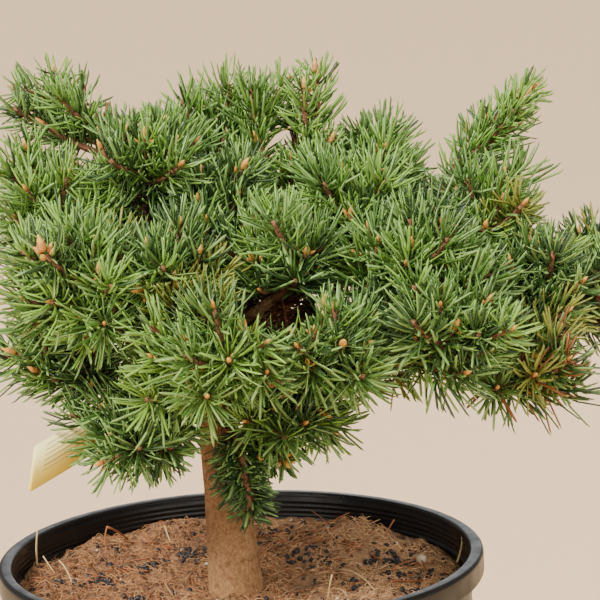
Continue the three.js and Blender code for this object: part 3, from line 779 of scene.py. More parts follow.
def fine_shoots(accepted, limbs, room):
    """Carries the rule to finer shoots, on each shoot and along the boughs, where there is room."""
    rng = np.random.default_rng(11)
    paths = [shoot.path.samples for shoot in accepted]
    made = []

    def attempt(mass, leave, axis, spread, size, turn):
        side = square_to(axis)
        around = math.cos(turn) * side + math.sin(turn) * np.cross(axis, side)
        heading = unit(math.cos(spread) * axis + math.sin(spread) * around + 0.25 * UP)
        if heading[2] < -0.05 and mass not in HANGING:
            return False
        tip = leave + heading * size
        knee = (leave + tip) / 2
        knee[2] -= SHOOT_SAG * size
        path = Path(leave, knee, tip)
        low, high = (np.array(corner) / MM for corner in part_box(mass))
        if in_hollow(path.samples[4:]).any():
            return False
        if (tip < np.minimum(low + 5, leave)).any() or (tip > np.maximum(high - 8, leave)).any():
            return False
        gaps = gaps_to(np.stack(paths), path.samples[[-1, -4]])
        if (gaps[:, 0] < room).any() or (gaps[:, 1] < room * 0.55).any():
            return False
        for limb in limbs.values():
            away, t = limb.path.nearest(path.samples[6:])
            if (away < limb.radius_at(t) + 6).any():
                return False
        paths.append(path.samples)
        made.append(Shoot(mass, path, fine=True))
        return True

    def sprout(mass, path, spots, size, spread):
        turn = rng.uniform(0, 2 * math.pi)
        for t in spots:
            for _ in range(4):
                turn += GOLDEN
                if attempt(mass, path.points(t), path.tangents(t), rng.uniform(*spread),
                           rng.uniform(*size) * lerp(1.15, 0.8, t), turn):
                    break

    for shoot in accepted:
        count = round(shoot.path.length / 9 * THIN.get(shoot.mass, 1))
        sprout(shoot.mass, shoot.path, np.linspace(0.12, 0.74, count), (24, 40), (0.65, 1.1))
    for mass, (limb_name, *_) in MASSES.items():
        limb = limbs.get(limb_name)
        if limb is not None and limb_name != "trunk":
            count = round(limb.path.length * 0.75 / 7)
            sprout(mass, limb.path, np.linspace(0.25, 1, count), (26, 38), (0.8, 1.3))
    return made


def grow_plant(room):
    """All shoots, and the limbs and label lines that they and their needles keep off."""
    limbs = grow_limbs()
    roots = dict(limbs)
    for name, (on, at, side) in SEATS.items():
        limb, out = limbs[on], np.array(side, float)
        out = unit(out - out.dot(limb.path.tangents(at)) * limb.path.tangents(at))
        face = limb.path.points(at) + out * (limb.radius_at(at) + GAP / 2)
        roots[name] = Limb(name, Path(face - 0.01 * out, face - 0.005 * out, face), lambda t: 0 * t)
    obstacles = dict(limbs)
    for i, share in enumerate((-0.4, -0.2, 0, 0.2, 0.4)):
        line = label_path(limbs, share * LABEL["width"])
        obstacles[f"label_{i}"] = Limb("label", line, lambda t: 3.4 + 0 * t)
    accepted = []
    for number, name in enumerate(MASSES):
        for shoot in grow_mass(name, number, roots):
            fits = room_for(shoot, accepted, obstacles, limbs.get(MASSES[name][0]))
            if fits or shoot.leader:
                accepted.append(shoot)
    return accepted + fine_shoots(accepted, obstacles, room / MM), obstacles


# ---- Needles ----

KINDS = ("deep", "mid", "bright", "olive", "rust")
OLIVE, RUST = 3, 4
PAIR_SPREAD = 0.19  # how far the needles of a pair part, as a share of their length
# How far points on a needle keep off obstacles: tested while it is straight, and again once bent.
STRAIGHT_MARGIN, BENT_MARGIN = 0.8, 0.6
NEEDLE_TURN = math.radians(137.5)  # from each pair to the next round the shoot
LOWEST_TIP = 226


def shoot_kind(shoot, rng):
    """The colour dealt to a whole spray, as an index into KINDS; brighter kinds go to higher and front sprays
    and darker ones to low, fine and sheltered sprays, as painted light and shade.
    """
    x, y, z = shoot.path.end
    # Higher sprays get more of the bright kind and lower and fine ones more of the deep: painted light and
    # shade.
    painted_light_share = min(max((z - 360) / 130, 0), 1)
    # The sprigs under the crown take only the deep or mid kind: painted shade.
    if "sprig" in shoot.mass:
        return int(rng.choice(2, p=(0.75, 0.25)))
    if shoot.fine:
        painted_light_share *= 0.7
    # Front sprays are dealt brighter kinds: painted light.
    if MASSES[shoot.mass][4] == "front":
        painted_light_share = max(painted_light_share, 0.7)
    # Low right sprays are mostly the deep kind, painted shade, with some yellowing ones.
    if x > 155 and z < 405 and y < 60:
        return int(rng.choice((0, 1, OLIVE), p=(0.86, 0.04, 0.1)))
    if np.linalg.norm(shoot.path.end - YELLOWED) < 22:
        return OLIVE
    if shoot.fine and rng.uniform() < 0.025:
        return OLIVE
    return int(rng.choice(3, p=(0.48 - 0.34 * painted_light_share, 0.35, 0.17 + 0.34 * painted_light_share)))


def needle_bed(shoot, rng, sizes):
    """Feet, headings, axes and lengths of a shoot's needle pairs, and which of them are old."""
    full = min(sizes.brush / MM, 0.86 * shoot.path.length)
    if shoot.fine:
        full = min(full, 32)
    bare = shoot.path.length - full
    dense = np.linspace(0, 1, max(4, round(full / (sizes.spacing / MM)))) ** 1.25 * full + 0.3
    sparse = np.arange(2, max(bare - 1, 2), 1.9)
    back = np.concatenate((dense, full + sparse))
    old = np.concatenate((np.zeros(len(dense)), np.ones(len(sparse))))
    t = 1 - back / shoot.path.length
    keep = t > 0.03
    back, old, t = back[keep], old[keep], t[keep]
    axis = shoot.path.tangents(t)
    side = square_to(axis)
    turn = np.arange(len(t)) * NEEDLE_TURN + rng.uniform(0, 6.28) + rng.normal(0, 0.12, len(t))
    out = np.cos(turn)[:, None] * side + np.sin(turn)[:, None] * np.cross(axis, side)
    open_by = 24 if shoot.leader else rng.uniform(-4, 22)
    lean = np.interp(back, (0, 3, 10, 25, 50), (40 + open_by, 52 + 0.7 * open_by, 64 + 0.4 * open_by, 73, 77))
    lean += rng.normal(0, 9, len(t))
    lean = np.radians(np.clip(lean, 8, 85))[:, None]
    heading = unit(np.cos(lean) * axis + np.sin(lean) * out + 0.07 * UP)
    foot = shoot.path.points(t) + out * 1.1
    vigour = rng.uniform(0.84, 1.06) * VIGOUR.get(shoot.mass, 1)
    length = sizes.needle / MM * vigour * rng.normal(1, 0.08, len(t)) * np.interp(
        back, (0, 3, 9), (0.7, 0.86, 1))
    return foot, heading, axis, length, old


def needles(foot, heading, pull, length, width, rng, solid):
    """Two bent three-sided needles on each foot, less those with a point too near an obstacle."""
    pair = square_to(heading)
    spin = rng.uniform(0, 2 * np.pi, len(foot))[:, None]
    pair = np.cos(spin) * pair + np.sin(spin) * np.cross(heading, pair)
    points = []
    each = (len(foot), 1)
    for sign in (1, -1):
        angle = PAIR_SPREAD * rng.uniform(0.5, 1.4, each)
        course = unit(heading + sign * angle * pair)
        outward = unit(sign * pair - (sign * pair * course).sum(-1, keepdims=True) * course)
        flat = np.cross(course, outward)
        bend = (pull - (pull * course).sum(-1, keepdims=True) * course) * rng.uniform(0.04, 0.5, each)
        bend = bend + outward * rng.normal(0, 0.13, each) + flat * rng.normal(0, 0.1, each)
        wide = width * rng.uniform(0.88, 1.12, each) / 2
        rings = []
        for s, share in ((0.0, 0.6), (0.4, 1.0), (0.9, 0.84)):
            centre = foot + length[:, None] * (s * course + s * s * bend)
            rings += [centre + wide * share * flat, centre - wide * share * flat,
                      centre + wide * 1.05 * share * outward]
        rings.append(foot + length[:, None] * (course + bend))
        points.append(np.stack(rings, 1))
    points = np.concatenate(points)
    low, middle, high = (points[:, k:k + 3].mean(1) for k in (0, 3, 6))
    good = np.ones(len(points), bool)
    for spot in (lerp(low, middle, 0.5), middle, lerp(middle, high, 0.5), high, points[:, 9]):
        good &= clear_of(solid, spot, BENT_MARGIN)
    points = points[good]
    base = (np.arange(len(points)) * 10)[:, None, None]
    quads = base + np.array([[r, r + 1, r + 4, r + 3] for r in (0, 3)] +
                            [[r + 1, r + 2, r + 5, r + 4] for r in (0, 3)] +
                            [[r + 2, r, r + 3, r + 5] for r in (0, 3)])
    triangles = base + np.array([[6, 7, 9], [7, 8, 9], [8, 6, 9], [0, 2, 1]])
    return points, quads, triangles, good


def add_needles(parcel, bed, kinds, width, rng, solid, pale=len(KINDS)):
    """Adds a bed's needles to a parcel; the flat face of kinds before olive gets the pale finish."""
    foot, heading, pull, length = bed
    if not len(foot):
        return
    points, quads, triangles, good = needles(foot, heading, pull, length, width, rng, solid)
    kinds = np.concatenate((kinds, kinds))[good]
    flat = np.where(kinds < OLIVE, pale, kinds)
    quad_kinds = np.stack([flat, flat] + [kinds] * 4, 1)
    triangle_kinds = np.stack([flat, kinds, kinds, kinds], 1)
    parcel.add(points, quads.reshape(-1, 4), triangles.reshape(-1, 3), quad_kinds.ravel(),
               triangle_kinds.ravel())


def clear_of(obstacles, points, margin):
    """Which points keep a margin, in millimetres, off every obstacle."""
    good = np.ones(len(points), bool)
    for limb in obstacles.values():
        away, t = limb.path.nearest(points)
        good &= away > limb.radius_at(t) + margin
    return good


def bud_proto():
    """A scaly pointed bud, 1 mm in radius and 3.7 mm high, to be scaled."""
    profile = [(0, 0), (0.62, 0.1), (1.0, 0.7), (0.86, 0.95), (0.98, 1.5), (0.74, 1.8), (0.72, 2.3),
               (0.42, 2.75), (0.28, 3.3), (0, 3.7)]
    return proto_of(turned(profile, 7, 1.0))


# ---- Operators ----

class PINE_OT_pot(bpy.types.Operator):
    """Turns the nursery pot, with its rolled rim, inner ribs and drain slots"""

    bl_idname = "pine.make_pot"
    bl_label = "Pot"

    def execute(self, context):
        s = context.scene.pine_pot
        height, wall, floor = s.height / MM, s.wall / MM, s.floor / MM
        rim, mouth, foot = s.rim_radius / MM, s.mouth_radius / MM, s.foot_radius / MM
        skirt = height - s.rim_depth / MM
        slope = (s.wall_radius / MM - foot) / skirt

        def wall_at(z):
            return foot + slope * z

        lip, inner_lip, rib_depth = 2.6, 2.2, 0.45
        profile = [(0, 0.8), (foot - 9, 0.8), (foot - 7, 0), (foot - 1.6, 0), (foot, 1.6)]
        for z in (DRAIN_LOW, DRAIN_HIGH, 20, 60, 120, 180, 205):
            profile.append((wall_at(z), z))
        profile += [(wall_at(208), 208), (wall_at(208) + 0.7, 209), (wall_at(212) + 0.7, 212),
                    (wall_at(213), 213), (wall_at(skirt), skirt)]
        profile += [(rim - 1.6, skirt), (rim - 0.5, skirt + 0.5), (rim, skirt + 1.6)]
        for turn in range(7):
            angle = turn * math.pi / 12
            profile.append((rim - lip + lip * math.cos(angle), height - lip + lip * math.sin(angle)))
        for turn in range(7):
            angle = math.pi / 2 + turn * math.pi / 12
            profile.append((mouth + inner_lip + inner_lip * math.cos(angle),
                            height - inner_lip + inner_lip * math.sin(angle)))
        for rib in range(6):
            z = height - 4.6 - 3.1 * rib
            inner = max(wall_at(z) - wall - 0.2, mouth - 1.4) if z < skirt else mouth
            profile += [(inner, z), (inner - rib_depth, z - 0.7), (inner - rib_depth, z - 1.4),
                        (inner, z - 2.1)]
        for z in (218, 200, 120, 60, 20, DRAIN_HIGH, DRAIN_LOW):
            profile.append((wall_at(z) - wall, z))
        profile += [(wall_at(floor) - wall - 1, floor), (0, floor)]
        bm = turned(profile, s.steps)
        self.cut_drains(bm, s.steps)
        mesh = from_bmesh("pot", bm)
        mesh.set_sharp_from_angle(angle=math.radians(50))
        piece = in_place("pot_body", mesh, [pot_plastic(tuple(context.scene.pine_colours.pot))])
        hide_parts("pot")
        return {"FINISHED"}

    @staticmethod
    def cut_drains(bm, steps):
        """Opens the drain slots through the wall just above the floor."""
        wide = max(2, round(steps / 36))
        for i in range(DRAINS):
            middle = (i + 0.5) * 2 * math.pi / DRAINS
            chosen = []
            for face in bm.faces:
                centre = face.calc_center_median()
                away = (math.atan2(centre.y, centre.x) - middle + math.pi) % (2 * math.pi) - math.pi
                if DRAIN_LOW < centre.z / MM < DRAIN_HIGH and abs(away) < wide * math.pi / steps + 1e-3:
                    if abs(face.normal.z) < 0.5:
                        chosen.append(face)
            rims = [e for f in chosen for e in f.edges if sum(g in chosen for g in e.link_faces) == 1]
            bmesh.ops.delete(bm, geom=chosen, context="FACES")
            rims = [e for e in set(rims) if e.is_valid]
            bmesh.ops.bridge_loops(bm, edges=rims)
        bmesh.ops.recalc_face_normals(bm, faces=bm.faces)


def mix_height(x, y):
    """Height of the potting mix, in millimetres."""
    level = bpy.context.scene.pine_mix.level / MM
    r = math.hypot(x, y)
    rise = 3.0 * min(max((r - 45) / 75, 0), 1) ** 1.5
    lean = 0.024 * y - 0.016 * x
    lump = sum(height * math.exp(-((x - at_x) ** 2 / wide_x + (y - at_y) ** 2 / wide_y))
               for height, (at_x, at_y), (wide_x, wide_y) in MOUNDS)
    fade = min(max((r - 17) / 20, 0), 1)
    rough = 2.6 * noise.noise(Vector((x / 21, y / 21, 3.1)))
    rough += 2.2 * noise.noise(Vector((x / 8.5, y / 8.5, 8.2)))
    rough += 1.3 * noise.noise(Vector((x / 3.2, y / 3.2, 5.7)))
    return level + (rise + lean + lump) * fade + rough


def on_mix(xy, lift):
    """Points that lie over the mix at places in plan, raised by a lift."""
    z = np.array([mix_height(x, y) for x, y in xy.reshape(-1, 2)]).reshape(xy.shape[:-1])
    return np.concatenate((xy, (z + lift)[..., None]), -1)


def from_trunk(xy):
    """Distances in plan from the trunk's foot."""
    return np.hypot(xy[..., 0] - TRUNK["base"][0], xy[..., 1])


def scattered(rng, reach, count, cluster=0.0):
    """Random places in plan on the mix, thinned to patches where a cluster level is given."""
    radius = reach * np.sqrt(rng.uniform(0.012, 1, count))
    angle = rng.uniform(0, 2 * np.pi, count)
    xy = np.stack((radius * np.cos(angle), radius * np.sin(angle)), -1)
    if cluster:
        shade = np.array([noise.noise(Vector((x / 17, y / 17, 1.3))) for x, y in xy])
        xy = xy[shade + rng.normal(0, 0.06, count) > cluster]
    return xy


class PINE_OT_mix(bpy.types.Operator):
    """Fills the pot with potting mix, and strews fibres, grains, perlite and dead needles on it"""

    bl_idname = "pine.make_mix"
    bl_label = "Potting mix"

    def execute(self, context):
        s = context.scene.pine_mix
        rng = np.random.default_rng(5)
        pot = context.scene.pine_pot
        slope = (pot.wall_radius - pot.foot_radius) / (pot.height - pot.rim_depth)

        def inner(z):
            return (pot.foot_radius - pot.wall) / MM + slope * z - 0.6

        profile = [(0, 3.4), (inner(3.4) - 1.5, 3.4), (inner(60), 60), (inner(140), 140),
                   (inner(205), 205), (inner(218), 218)]
        profile += [(inner(222) * (1 - k / 58), 222) for k in range(58)] + [(0, 222)]
        bm = turned(profile, 200)
        for v in bm.verts:
            if v.co.z > 221.9 * MM:
                v.co.z = mix_height(v.co.x / MM, v.co.y / MM) * MM
        body = in_place("mix_body", from_bmesh("mix_body", bm), [mix_ground()])
        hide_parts("potting_mix")
        reach = inner(222) - 3
        self.fibres(s, rng, reach)
        self.grains(s, rng, reach)
        self.litter(s, rng, reach)
        return {"FINISHED"}

    @staticmethod
    def fibres(s, rng, reach):
        """Loose coir fibres, and the straws among them."""
        fibres = Parcel()
        for kind, share, thick, size in ((0, 0.56, 0.17, (3, 13)), (1, 0.34, 0.2, (3, 14)),
                                         (2, 0.10, 0.2, (3, 10))):
            xy = scattered(rng, reach, int(s.fibres * share), -0.3)
            count = len(xy)
            turn = rng.uniform(0, 2 * np.pi, count)
            run = np.linspace(-0.5, 0.5, 5)
            bend = rng.normal(0, 0.9, count)
            angle = turn[:, None] + bend[:, None] * run
            size_of = rng.uniform(*size, count)[:, None]
            course = np.stack((np.cos(angle) * run * size_of, np.sin(angle) * run * size_of), -1)
            line = xy[:, None] + course
            too_far = np.hypot(line[..., 0], line[..., 1]).max(1) > reach + 1
            at_trunk = from_trunk(line).min(1) < FIBRES_OFF
            line = line[~(too_far | at_trunk)]
            arch = rng.uniform(0, 2.0, (len(line), 1)) * (1 - (2 * run) ** 2)
            tilt = np.abs(rng.normal(0, 1.5, (len(line), 1))) * (run + 0.5)
            centres = on_mix(line, 0.15 + arch + tilt)
            radii = thick * np.array((0.5, 0.9, 1, 0.9, 0.5)) * rng.uniform(0.6, 1.3, (len(line), 1))
            # Fibres towards +X take the pale coir finish, kind 5: painted light on the side of the mix that
            # the crown shades.
            painted_light_side = rng.uniform(-20, 90, len(line)) < line[:, 2, 0]
            for part, tone in ((painted_light_side, 5), (~painted_light_side, kind)):
                fibres.add(*strands(centres[part], radii[part]), kinds=tone)
        t = np.linspace(0, 1, 6)[None, :, None]
        a, b, c = (np.array([straw[k] for straw in STRAWS], float)[:, None] for k in range(3))
        centres = (1 - t) * (1 - 2 * t) * a + 4 * t * (1 - t) * b + t * (2 * t - 1) * c
        radii = np.array([straw[3] for straw in STRAWS])[:, None] * np.linspace(1, 0.6, 6)
        dead = np.array([straw[4] for straw in STRAWS])
        for part, kind in ((~dead, 3), (dead, 4)):
            fibres.add(*strands(centres[part], radii[part], 5), kinds=kind)
        fibre_mats = [finish("coir_tan", (0.52, 0.28, 0.128), 0.9),
                      finish("coir_red", (0.42, 0.18, 0.075), 0.9),
                      finish("coir_dark", (0.12, 0.055, 0.03), 0.9),
                      finish("straw", (0.56, 0.40, 0.20), 0.75),
                      finish("dead_needle", (0.36, 0.13, 0.05), 0.7),
                      # The last finish is the pale coir of the +X side: painted light.
                      finish("coir_dry", (0.80, 0.48, 0.25), 0.9)]
        in_place("mix_fibres", fibres.mesh("mix_fibres"), fibre_mats)

    @staticmethod
    def grains(s, rng, reach):
        """Black grains, perlite, crumbs of bark and one pebble."""
        grains = Parcel()
        bm = bmesh.new()
        bmesh.ops.create_icosphere(bm, subdivisions=1, radius=1)
        points, faces, _ = proto_of(bm)
        drifts = np.repeat(np.array(DRIFTS, float), 11, axis=0)
        drifts = drifts + rng.normal(0, 1, drifts.shape) * (5.5, 4)
        for kind, xy, size, lift in ((0, drifts, (1.2, 2.5), 0.7),
                                     (0, scattered(rng, reach, s.grains // 2), (0.9, 1.9), 0.4),
                                     (1, scattered(rng, reach, s.perlite), (0.8, 1.9), 0.3),
                                     (2, scattered(rng, reach, s.grains), (0.8, 2.2), -0.2)):
            xy = xy[np.hypot(xy[:, 0], xy[:, 1]) < reach]
            xy = xy[from_trunk(xy) > GRAINS_OFF]
            sizes = rng.uniform(*size, (len(xy), 1)) * rng.uniform(0.65, 1.1, (len(xy), 3))
            grains.copies(points, faces, on_mix(xy, lift), random_turns(rng, len(xy)), sizes, kind)
        pebble = on_mix(np.array([[105.5, 26.0]]), 3.0)
        grains.copies(points, faces, pebble, random_turns(rng, 1), np.array([[4.6, 3.6, 3.2]]), 3)
        grain_mats = [finish("grain_black", (0.014, 0.014, 0.017), 0.5),
                      finish("perlite", (0.62, 0.58, 0.52), 0.85),
                      finish("bark_crumb", (0.12, 0.055, 0.03), 0.9),
                      finish("pebble", (0.55, 0.44, 0.33), 0.75)]
        in_place("mix_grains", grains.mesh("mix_grains"), grain_mats)

    @staticmethod
    def litter(s, rng, reach):
        """Dead needles that have dropped on the mix."""
        litter = Parcel()
        xy = scattered(rng, reach, s.litter)
        xy = xy[(np.hypot(xy[:, 0], xy[:, 1]) < reach - 14) & (from_trunk(xy) > LITTER_OFF)]
        foot = on_mix(xy, 0.6)
        turn = rng.uniform(0, 2 * np.pi, len(foot))
        heading = unit(np.stack((np.cos(turn), np.sin(turn), rng.uniform(-0.02, 0.16, len(foot))), -1))
        bed = (foot, heading, np.broadcast_to(-UP, foot.shape), rng.uniform(14, 25, len(foot)))
        add_needles(litter, bed, rng.choice((0, 0, 0, 1), len(foot)), 1.15, rng, {}, pale=0)
        litter_mats = [finish("litter_rust", (0.34, 0.115, 0.045), 0.7),
                       finish("litter_tan", (0.42, 0.24, 0.11), 0.75)]
        in_place("mix_litter", litter.mesh("mix_litter"), litter_mats)


class PINE_OT_limbs(bpy.types.Operator):
    """Covers the trunk and boughs with cracked bark, and adds the pruned stubs"""

    bl_idname = "pine.make_limbs"
    bl_label = "Trunk and boughs"

    def execute(self, context):
        s = context.scene.pine_wood
        limbs = grow_limbs()
        bm = bmesh.new()
        for limb in limbs.values():
            self.tube(bm, limb)
        for at, side, size, _ in STUBS:
            self.stub(bm, limbs["trunk"], at, side, size)
        raw = bpy.data.objects.new("raw_limbs", from_bmesh("raw_limbs", bm))
        context.scene.collection.objects.link(raw)
        weld = raw.modifiers.new("weld", "REMESH")
        weld.mode = "VOXEL"
        weld.voxel_size = s.voxel
        context.view_layer.update()
        mesh = bpy.data.meshes.new_from_object(raw.evaluated_get(context.evaluated_depsgraph_get()))
        bpy.data.objects.remove(raw)
        mesh.name = "bark"
        self.crack(mesh, s.fissure, limbs)
        mesh.materials.clear()
        piece = in_place("bark", mesh, [bark_finish()])
        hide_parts(*[name for name in frame["nodes"] if name == "trunk" or name.startswith("bough")])
        self.cuts(limbs["trunk"])
        return {"FINISHED"}

    @staticmethod
    def tube(bm, limb):
        """One limb: a ring of vertices drawn out along its path, then capped."""
        trunk = limb.parent is None
        sides, rows = (40, 40) if trunk else (12, 14)
        rng = random.Random(limb.name)
        lobes = [rng.uniform(0, 6.28) for _ in range(4)]
        spots = np.linspace(0, 1, rows + 1)
        ring = bmesh.ops.create_circle(bm, cap_ends=False, segments=sides, radius=1.0)["verts"]
        edges = list({e for v in ring for e in v.link_edges})
        bmesh.ops.contextual_create(bm, geom=edges)
        past = Matrix.Identity(4)
        for k, t in enumerate(spots):
            place = Vector(limb.path.points(t)) * MM
            heading = Vector(limb.path.tangents(t))
            if k:
                made = bmesh.ops.extrude_edge_only(bm, edges=edges)["geom"]
                ring = [g for g in made if isinstance(g, bmesh.types.BMVert)]
                edges = [g for g in made if isinstance(g, bmesh.types.BMEdge) and g.is_boundary]
            swell = 1 + (0.16 * math.exp(-(t * limb.path.length / 7) ** 2) if not trunk else 0)
            wobble = 1 + (0.05 * math.sin(9 * t + lobes[0]) if not trunk else 0)
            radius = float(limb.radius_at(t)) * swell * wobble * MM
            turn = heading.to_track_quat("Z", "Y").to_matrix().to_4x4()
            now = Matrix.Translation(place) @ turn @ Matrix.Scale(radius, 4)
            bmesh.ops.transform(bm, matrix=now @ past.inverted(), verts=ring)
            past = now
        bmesh.ops.contextual_create(bm, geom=edges)
        bmesh.ops.recalc_face_normals(bm, faces=bm.faces)

    @staticmethod
    def stub_place(trunk, at, side):
        """A stub's place on the trunk's axis, the way it points, the trunk's radius and its turn."""
        out = Vector(side).normalized()
        turn = out.to_track_quat("Z", "Y").to_matrix().to_4x4()
        return Vector(trunk.path.points(at)) * MM, out, float(trunk.radius_at(at)), turn

    def stub(self, bm, trunk, at, side, size):
        """A short pruned branch, standing out of the trunk."""
        centre, out, radius, turn = self.stub_place(trunk, at, side)
        middle = centre + out * radius * MM * 0.92
        bmesh.ops.create_cone(bm, cap_ends=True, segments=14, radius1=size * 1.25 * MM,
                              radius2=size * 0.92 * MM, depth=size * 1.1 * MM,
                              matrix=Matrix.Translation(middle) @ turn)

    @staticmethod
    def crack(mesh, depth, limbs):
        """Moves the bark's vertices in and out: upright fissures, knobs and a lobed foot."""
        count = len(mesh.vertices)
        co = np.empty(count * 3)
        mesh.vertices.foreach_get("co", co)
        co = co.reshape(-1, 3)
        normals = np.empty(count * 3)
        mesh.vertices.foreach_get("normal", normals)
        normals = normals.reshape(-1, 3)
        away, t = limbs["trunk"].path.nearest(co / MM)
        on_trunk = np.clip((limbs["trunk"].radius_at(t) + 4 - away) / 3, 0, 1)
        move = np.empty(count)
        for i, (x, y, z) in enumerate(co / MM):
            upright = noise.noise(Vector((x / 2.6, y / 2.6, z / 8)))
            knob = noise.noise(Vector((x / 9, y / 9, z / 14)))
            fine = noise.noise(Vector((x / 1.5, y / 1.5, z / 1.9)))
            crack = -max(0.0, 0.16 - abs(upright)) / 0.16
            move[i] = 0.5 * crack + 0.9 * knob + 0.6 * fine
            if z < 240 and on_trunk[i] > 0.5:
                angle = math.atan2(y, x - TRUNK["base"][0])
                lobe = math.sin(3 * angle + 0.7) + 0.6 * math.sin(5 * angle + 2.1)
                move[i] += 0.8 * lobe * math.exp(-(z - 222) / 7)
        co += normals * (move * depth)[:, None]
        mesh.vertices.foreach_set("co", co.ravel())
        mesh.polygons.foreach_set("use_smooth", np.ones(len(mesh.polygons), bool))
        mesh.update()

    def cuts(self, trunk):
        """The pale sawn faces of the stubs."""
        bm = bmesh.new()
        for at, side, size, pale in STUBS:
            if not pale:
                continue
            centre, out, radius, turn = self.stub_place(trunk, at, side)
            face = centre + out * (radius * 0.92 + size * 0.55 + 0.1) * MM
            made = bmesh.ops.create_cone(bm, cap_ends=True, segments=16, radius1=size * 0.86 * MM,
                                         radius2=size * 0.76 * MM, depth=0.9 * MM,
                                         matrix=Matrix.Translation(face) @ turn)
            edges = list({e for v in made["verts"] for e in v.link_edges})
            bmesh.ops.bevel(bm, geom=edges, offset=0.25 * MM, segments=2, profile=0.5,
                            affect="EDGES", material=-1)
        in_place("pruned_cuts", from_bmesh("pruned_cuts", bm), [cut_wood()])


class PINE_OT_foliage(bpy.types.Operator):
    """Grows the shoots on from the boughs, with their twigs, needle pairs and buds"""

    bl_idname = "pine.make_foliage"
    bl_label = "Foliage"

    def execute(self, context):
        sizes, tint = context.scene.pine_foliage, context.scene.pine_colours
        shoots, obstacles = grow_plant(sizes.room)
        solid = {k: v for k, v in obstacles.items() if v.name != "label" or k == "label_2"}
        rng = np.random.default_rng(23)
        mats = [finish(f"needle_{kind}", tuple(getattr(tint, kind)), 0.33, Coat_Weight=0.15,
                       Coat_Roughness=0.25) for kind in KINDS]
        mats.append(finish("needle_pale", tuple(tint.pale), 0.42))
        parcels = {}
        for shoot in shoots:
            side = MASSES[shoot.mass][4]
            kind = shoot_kind(shoot, rng)
            foot, heading, axis, length, old = needle_bed(shoot, rng, sizes)
            tips = foot + heading * length[:, None]
            good = clear_of(solid, tips, STRAIGHT_MARGIN)
            good &= clear_of(solid, (foot + tips) / 2, STRAIGHT_MARGIN)
            good &= tips[:, 2] > LOWEST_TIP
            for share in (0.5, 1.0):
                good &= ~in_hollow(lerp(foot, tips, share))
            kinds = np.full(len(foot), kind)
            ageing = old * rng.uniform(size=len(foot))
            kinds = np.where(ageing > 0.93, RUST, np.where(ageing > 0.84, OLIVE, kinds))
            if shoot.mass == "foliage_right_low":
                kinds = np.where(rng.uniform(size=len(foot)) < 0.1, RUST, kinds)
            strays = (ageing == 0) & (rng.uniform(size=len(foot)) < 0.12)
            kinds = np.where(strays, (kinds + 1) % 3, kinds)
            bed = tuple(part[good] for part in (foot, heading, axis + 0.5 * UP, length))
            add_needles(parcels.setdefault(side, Parcel()), bed, kinds[good],
                        sizes.needle_width / MM, rng, obstacles)
        self.withered(parcels["front"], rng, sizes, obstacles)
        for side, parcel in parcels.items():
            piece = in_place(f"needles_{side}", parcel.mesh(f"needles_{side}"), mats)
            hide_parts(*[name for name, spec in MASSES.items() if spec[4] == side])
        self.twigs(shoots, rng)
        self.buds(shoots, rng)
        return {"FINISHED"}

    @staticmethod
    def withered(parcel, rng, sizes, obstacles):
        """Dead needles that lodge in the hollow above the fork."""
        count = WITHERED["count"]
        foot = np.array(WITHERED["place"]) + rng.normal(0, 1, (count, 3)) * WITHERED["spread"]
        heading = unit(rng.normal(0, 1, (count, 3)) * (1, 1, 0.45))
        bed = (foot, heading, np.broadcast_to(-UP, foot.shape), rng.uniform(16, 24, count))
        width = sizes.needle_width / MM * 0.8
        add_needles(parcel, bed, np.full(count, RUST), width, rng, obstacles)

    @staticmethod
    def twigs(shoots, rng):
        """The scaly shoots themselves."""
        rows = 12
        t = np.linspace(0, 1, rows)
        centres = np.stack([shoot.path.points(t) for shoot in shoots])
        starts = unit(centres[:, 0] - centres[:, 1])
        centres[:, 0] += starts * 2.5
        root = np.array([3.1 if s.leader else 1.9 if s.fine else 2.4 for s in shoots])[:, None]
        tip = np.array([1.35 if s.fine else 1.6 for s in shoots])[:, None]
        radii = lerp(root, tip, t) * (1 + rng.normal(0, 0.06, (len(shoots), rows)))
        parcel = Parcel()
        parcel.add(*strands(centres, radii, 7))
        piece = in_place("twigs", parcel.mesh("twigs"), [twig_bark()])
        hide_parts(*MASSES)

    @staticmethod
    def buds(shoots, rng):
        """A bud on most shoots, and smaller ones beside it on many that aren't fine."""
        points, faces, heights = bud_proto()
        parcel = Parcel()
        for shoot in shoots:
            axis = shoot.path.tangents(1.0)
            place = shoot.path.points(1.0)
            if (shoot.fine and rng.uniform() < 0.45) or shoot.mass == "foliage_sprig":
                continue
            count = 1 if shoot.fine else int(rng.choice((1, 2, 3, 4), p=(0.3, 0.3, 0.25, 0.15)))
            size = rng.uniform(1.1, 1.6) if shoot.fine else rng.uniform(1.5, 2.3)
            if shoot.mass == "foliage_left_front" and shoot.leader:
                count, size, place = 5, 2.7, place + 5 * axis
                axis = unit(axis + 1.2 * UP)
            turn = rng.uniform(0, 6.28) + np.arange(count) * GOLDEN
            side = square_to(axis)
            out = np.cos(turn)[:, None] * side + np.sin(turn)[:, None] * np.cross(axis, side)
            first = np.arange(count) == 0
            heading = unit(axis + np.where(first, 0, 1.0)[:, None] * out)
            scale = np.where(first, 1.0, rng.uniform(0.45, 0.75, count))[:, None] * size
            places = place + np.where(first[:, None], 0, out * 1.2 * size - axis * 0.9 * size)
            kinds = np.tile((heights > 2.1).astype(int), count)
            sizes = np.concatenate((scale, scale, scale * rng.uniform(1.0, 1.25)), 1)
            parcel.copies(points, faces, places, turns_to(heading, turn), sizes, kinds)
        mats = [finish("bud_scales", (0.44, 0.185, 0.038), 0.5),
                finish("bud_resin", (0.70, 0.36, 0.08), 0.5)]
        piece = in_place("buds", parcel.mesh("buds"), mats)
        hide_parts(*MASSES)


